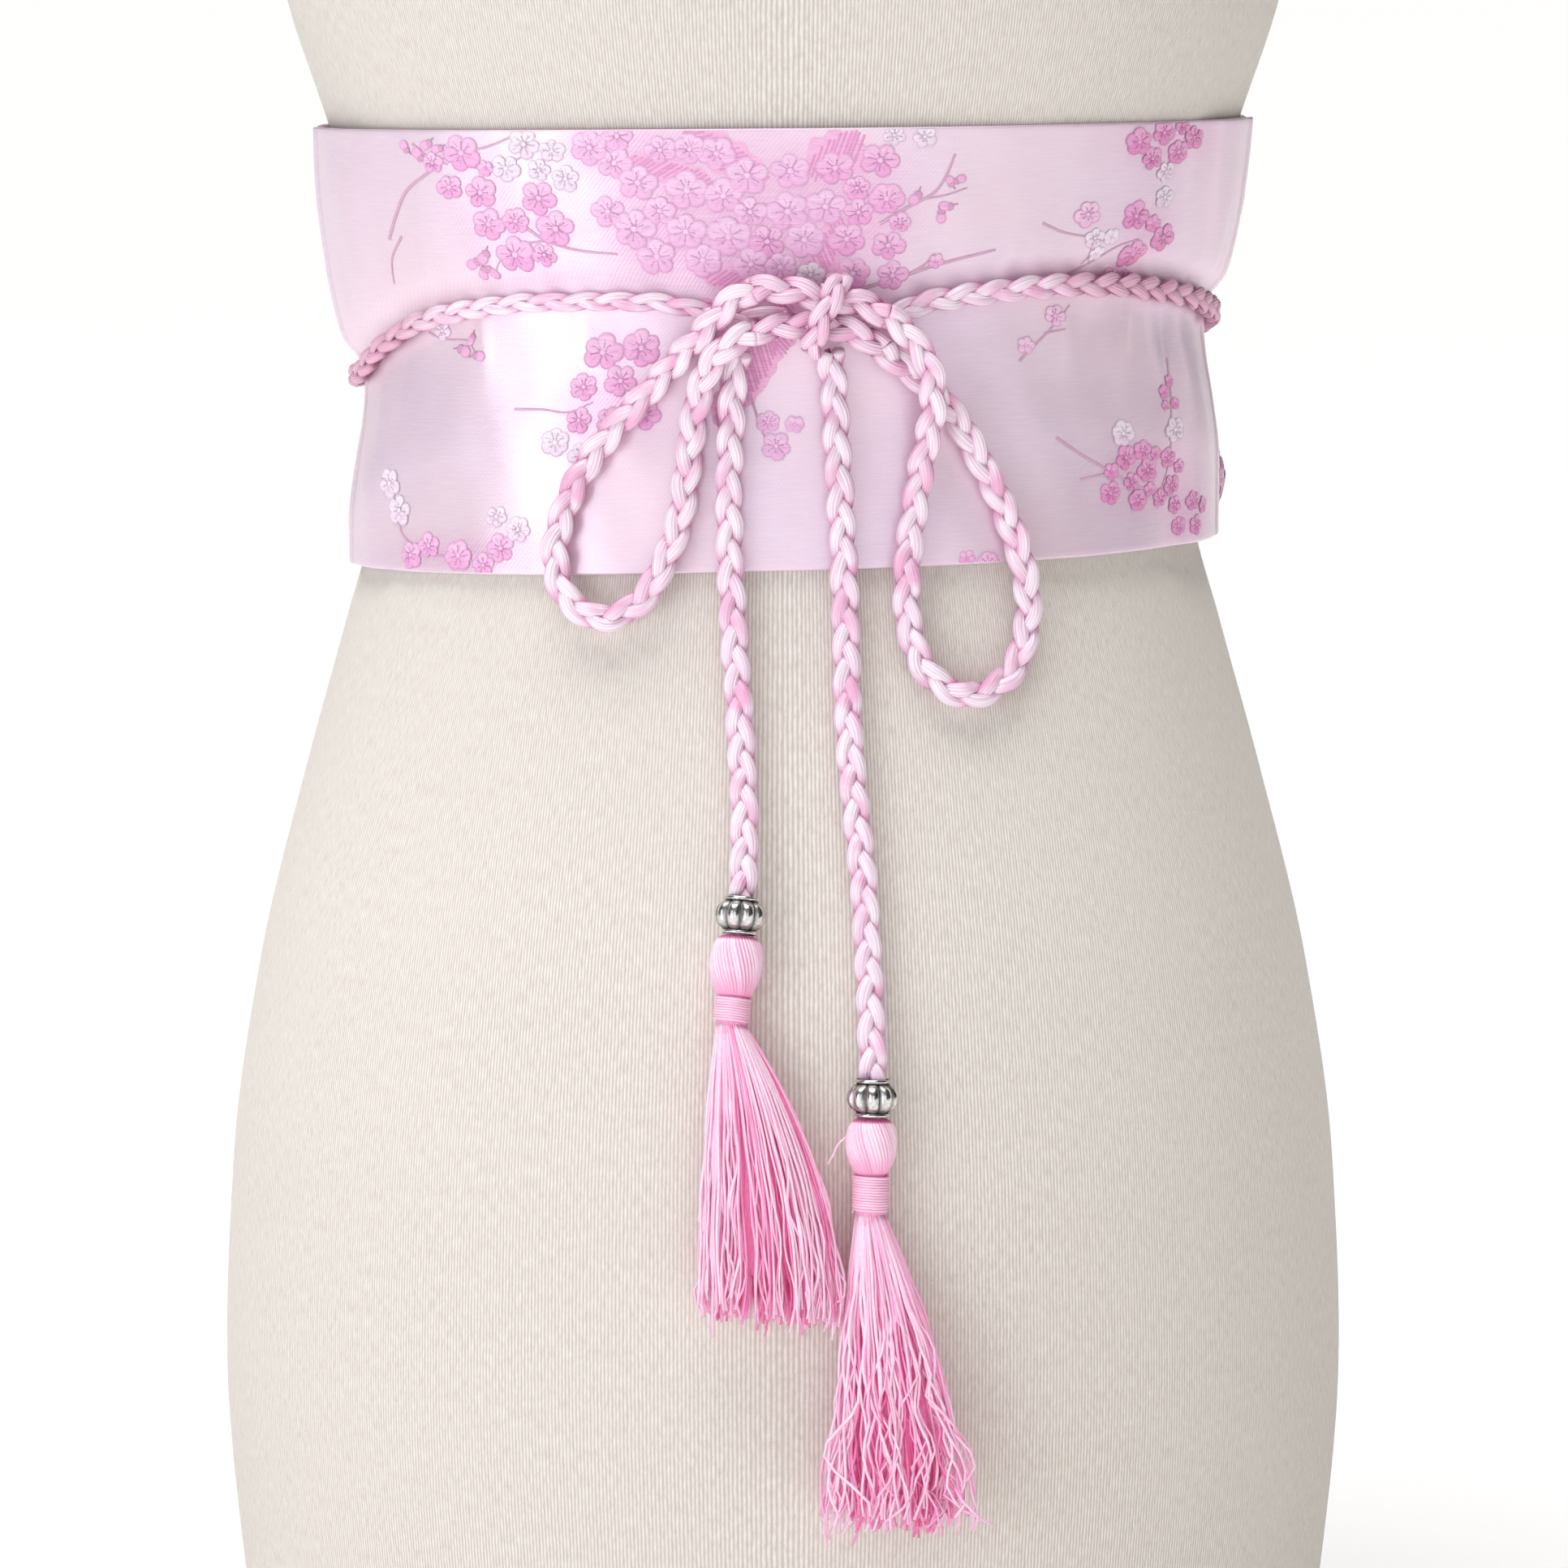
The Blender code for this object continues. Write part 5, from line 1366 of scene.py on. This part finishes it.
# from its underside up: height, half width, depth on the bow side, depth on the bust side, squareness
formRows = [
    (0.000, 0.1560, 0.1090, 0.1000, 2.20), (0.058, 0.1675, 0.1175, 0.1060, 2.22),
    (0.126, 0.1725, 0.1240, 0.1095, 2.24), (0.188, 0.1697, 0.1262, 0.1115, 2.26),
    (0.248, 0.1610, 0.1215, 0.1125, 2.28), (0.309, 0.1460, 0.1075, 0.1090, 2.30),
    (0.354, 0.1334, 0.0960, 0.1030, 2.32), (0.385, 0.1252, 0.0903, 0.0985, 2.34),
    (0.420, 0.1222, 0.0872, 0.0958, 2.34), (0.455, 0.1236, 0.0891, 0.0983, 2.34),
    (0.505, 0.1383, 0.0975, 0.1080, 2.34), (0.541, 0.1500, 0.1050, 0.1200, 2.32),
    (0.585, 0.1590, 0.1100, 0.1310, 2.30), (0.630, 0.1640, 0.1110, 0.1220, 2.30),
    (0.680, 0.1690, 0.1040, 0.1020, 2.30), (0.722, 0.1740, 0.0860, 0.0840, 2.30),
    (0.748, 0.1690, 0.0690, 0.0700, 2.25), (0.766, 0.1420, 0.0560, 0.0610, 2.20),
    (0.781, 0.1030, 0.0490, 0.0590, 2.10), (0.796, 0.0690, 0.0450, 0.0590, 2.05),
    (0.815, 0.0570, 0.0430, 0.0610, 2.00), (0.862, 0.0540, 0.0400, 0.0640, 2.00),
    (0.871, 0.0510, 0.0370, 0.0610, 2.00), (0.874, 0.0450, 0.0310, 0.0550, 2.00),
]
dressForm = dict(
    around=240,
    rows=170,
    edgeRows=[0.0012, 0.003, 0.865, 0.868, 0.871, 0.8725, 0.8735, 0.874],
    rounding=(0.9965, 0.999),  # a small radius at the underside's edge
    middle=(0.0, 0.005),  # of both ends
    capHeight=0.4 * mm,
    ribs=1000,
    ribSpacing=1.05 * mm,
    seams=(97.0, -97.0),
    seamSpans=[(0.004, 0.372, 150), (0.510, 0.724, 90)],  # from, to, points: none under the band
    seamRadius=0.55 * mm,
    pipings=[(0.8655, 1.3), (0.0022, 0.8125)],  # height, radius in millimetres
    seam="#E4DBD0",
)


def formPoints(angle, height, out=0.0):
    x, y = ovalPoints(angle, *readTable(formRows, height), out)
    return np.stack([x, y, np.broadcast_to(height, x.shape)], axis=-1)


def linenJersey():
    # Undyed linen jersey, knitted as a tube and drawn over the form: matt, with fine upright wales and slubs.
    yarn = dict(light="#F3EEE8", dark="#E2DAD0", wale="#B9AB9B")
    made, tree, shader = newMaterial(
        "undyed linen jersey", Roughness=0.92, IOR=1.5, Specular_IOR_Level=0.25, Sheen_Weight=0.15,
        Sheen_Roughness=0.6,
    )
    place = uvPlace(tree)
    # wales 1.05 mm apart at the hips
    waves = {"Scale": 0.3142 / 1.05e-3, "Distortion": 0.9, "Detail": 2.0, "Detail Scale": 0.35}
    wales = addNode(tree, "TexWave", {"Vector": place, **waves}).outputs["Fac"]
    slubs = noise(tree, stretched(tree, place, (950.0, 260.0, 1.0)), 1.0, 3.0, Roughness=0.65)
    ground = mixColours(tree, remap(tree, slubs, 0.3, 0.7), yarn["dark"], yarn["light"])
    line = maths(tree, "MULTIPLY", wales, slubs)
    tone = mixColours(tree, remap(tree, line, 0.03, 0.38, 0.62, 0.0), ground, yarn["wale"])
    clouds = remap(tree, noise(tree, place, 14.0), 0.3, 0.7, 0.0, 0.2)
    finishSurface(tree, shader, mixColours(tree, clouds, tone, yarn["dark"]), line, 0.45, 0.25)
    return made


linen = linenJersey()


def addDressForm():
    top = formRows[-1][0]
    heights = np.unique(np.concatenate([np.linspace(0, top, dressForm["rows"]), dressForm["edgeRows"]]))
    angles = np.arange(dressForm["around"]) * 360.0 / dressForm["around"]
    points = formPoints(*np.meshgrid(angles, heights))
    for row, share in enumerate(dressForm["rounding"]):
        points[row, :, :2] *= share
    middle = np.array(dressForm["middle"])

    def drawnIn(ring, share, height):
        inner = middle + (ring[:, :2] - middle) * share
        return np.concatenate([inner, np.full((len(ring), 1), height)], axis=1)

    under = [drawnIn(points[0], k, 0.0) for k in (0.0005, 0.4, 0.8)]
    over = [drawnIn(points[-1], k, top + dressForm["capHeight"] * (1 - k)) for k in (0.9, 0.6, 0.3, 0.0005)]
    points = np.concatenate([under, points, over])
    up = np.concatenate([[-0.16, -0.09, -0.03], heights, top + np.array([0.005, 0.02, 0.035, 0.05])])
    girth = dressForm["ribs"] * dressForm["ribSpacing"]
    mesh = meshOfGrids("dressForm", [grid(points, up, np.arange(len(angles) + 1) * girth / len(angles))])
    layer = mesh.uv_layers["metres"]
    flat = np.zeros(len(mesh.loops) * 2, np.float32)
    layer.data.foreach_get("uv", flat)
    flat = np.ascontiguousarray(flat.reshape(-1, 2)[:, ::-1])  # so that the ribs run up the form
    layer.data.foreach_set("uv", flat.ravel())
    addPiece("dressForm", mesh, linen, ["dress_form"])


def addFormSeams():
    tint = flatColour(dressForm["seam"])
    grids = []
    for angle in dressForm["seams"]:
        for span in dressForm["seamSpans"]:
            heights = np.linspace(*span)
            line = formPoints(np.full(len(heights), angle), heights, 0.15 * mm)
            grids.append(threadGrid(line / mm, dressForm["seamRadius"] / mm, tint, sides=6))
    around = np.linspace(0, 360, 121)
    for height, radius in dressForm["pipings"]:
        line = formPoints(around, np.full(len(around), height), 0.2 * mm)
        grids.append(threadGrid(line / mm, radius, tint, sides=8))
    addPiece("formSeams", meshOfGrids("formSeams", grids), linen)


addDressForm()
addFormSeams()
addSash("sashFar", "sash_far", "far", farCopies)
addSash("sashNear", "sash_near", "near", [0.0])
print("sash done")

# ---- floor and light

studio = dict(
    floorRadii=[0.001, 0.5, 1.5, 4, 12, 40, 180.0],
    floorSides=96,
    floorHeight=-0.6 * mm,
    floor="#F7F6F5",
    sky=0.27,
    horizon=0.5,
    flags=(0.5, 0.15),  # how much of the sky's light gets past the flags on the left and the right
    sun=2.9,
    sunSpread=50,
    sunLean=(4, -6),
    cool="#F0F4FF",
    plain="#FFFFFF",
    aim=(0.0, 0.0, 0.42),
)


def paintedFloor():
    # Matt white studio paint, rolled on: pale and plain, with the faint orange peel of a roller.
    made, tree, shader = newMaterial(
        "rolled matt studio paint", Roughness=0.85, IOR=1.5, Specular_IOR_Level=0.2,
        Base_Color=linear(studio["floor"]),
    )
    finishSurface(tree, shader, None, noise(tree, objectPlace(tree), 260.0), 0.05, 0.3)
    return made


def addFloor():
    radii, a = np.array(studio["floorRadii"])[:, None], circle(studio["floorSides"])
    x, y = radii * np.cos(a), radii * np.sin(a)
    mesh = meshOfGrids("floor", [grid(np.stack([x, y, np.full(x.shape, studio["floorHeight"])], axis=-1))])
    mesh.materials.append(paintedFloor())
    linkNew("floor", mesh)


def addArea(name, azimuth, height, distance, size, watts, colour, aim=studio["aim"]):
    data = bpy.data.lights.new(name, "AREA")
    data.shape = "RECTANGLE"
    data.size, data.size_y = size
    data.energy = watts
    data.color = linear(colour)[:3]
    made = linkNew(name, data)
    a = math.radians(azimuth)  # as round the waist
    made.location = (distance * math.sin(a), -distance * math.cos(a), height)
    aimAt(made, aim)


def addLights():
    sun = bpy.data.lights.new("overheadBank", "SUN")
    sun.energy = studio["sun"]
    sun.angle = math.radians(studio["sunSpread"])
    leanX, leanY = studio["sunLean"]
    linkNew("overheadBank", sun).rotation_euler = (math.radians(leanX), math.radians(leanY), 0)
    addArea("keySoftbox", -41, 0.75, 2.6, (1.7, 2.0), 13.7, studio["cool"])
    addArea("frontBank", 4, 0.9, 3.0, (2.2, 1.4), 8.4, studio["cool"])
    addArea("lowStrip", -38, 0.24, 1.25, (0.5, 0.5), 1.7, studio["cool"], aim=(0.0, 0.0, 0.45))
    addArea("stripRight", 104, 0.7, 2.4, (0.12, 1.6), 1.2, studio["plain"])


def addSky():  # brightest at the horizon, and held off the sides by two flags
    world = bpy.data.worlds.new("studio")
    bpy.context.scene.world = world
    world.use_nodes = True
    tree = world.node_tree
    tree.nodes.clear()
    place = addNode(tree, "TexCoord").outputs["Generated"]
    x, _, z = addNode(tree, "SeparateXYZ", {0: place}).outputs
    soft = dict(interpolation_type="SMOOTHSTEP")
    left, right = studio["flags"]
    rise = remap(tree, z, 0.03, 0.22, studio["horizon"], studio["sky"], **soft)
    leftFlag = remap(tree, x, -0.95, -0.4, left, 1.0, **soft)
    rightFlag = remap(tree, x, 0.15, 0.85, 1.0, right, **soft)
    strength = maths(tree, "MULTIPLY", rise, maths(tree, "MULTIPLY", leftFlag, rightFlag))
    light = addNode(tree, "Background", {"Color": linear(studio["plain"]), "Strength": strength})
    addNode(tree, "OutputWorld", {0: light.outputs[0]})


addFloor()
addLights()
addSky()
bpy.context.scene.view_settings.view_transform = "Standard"
print("floor and light done")
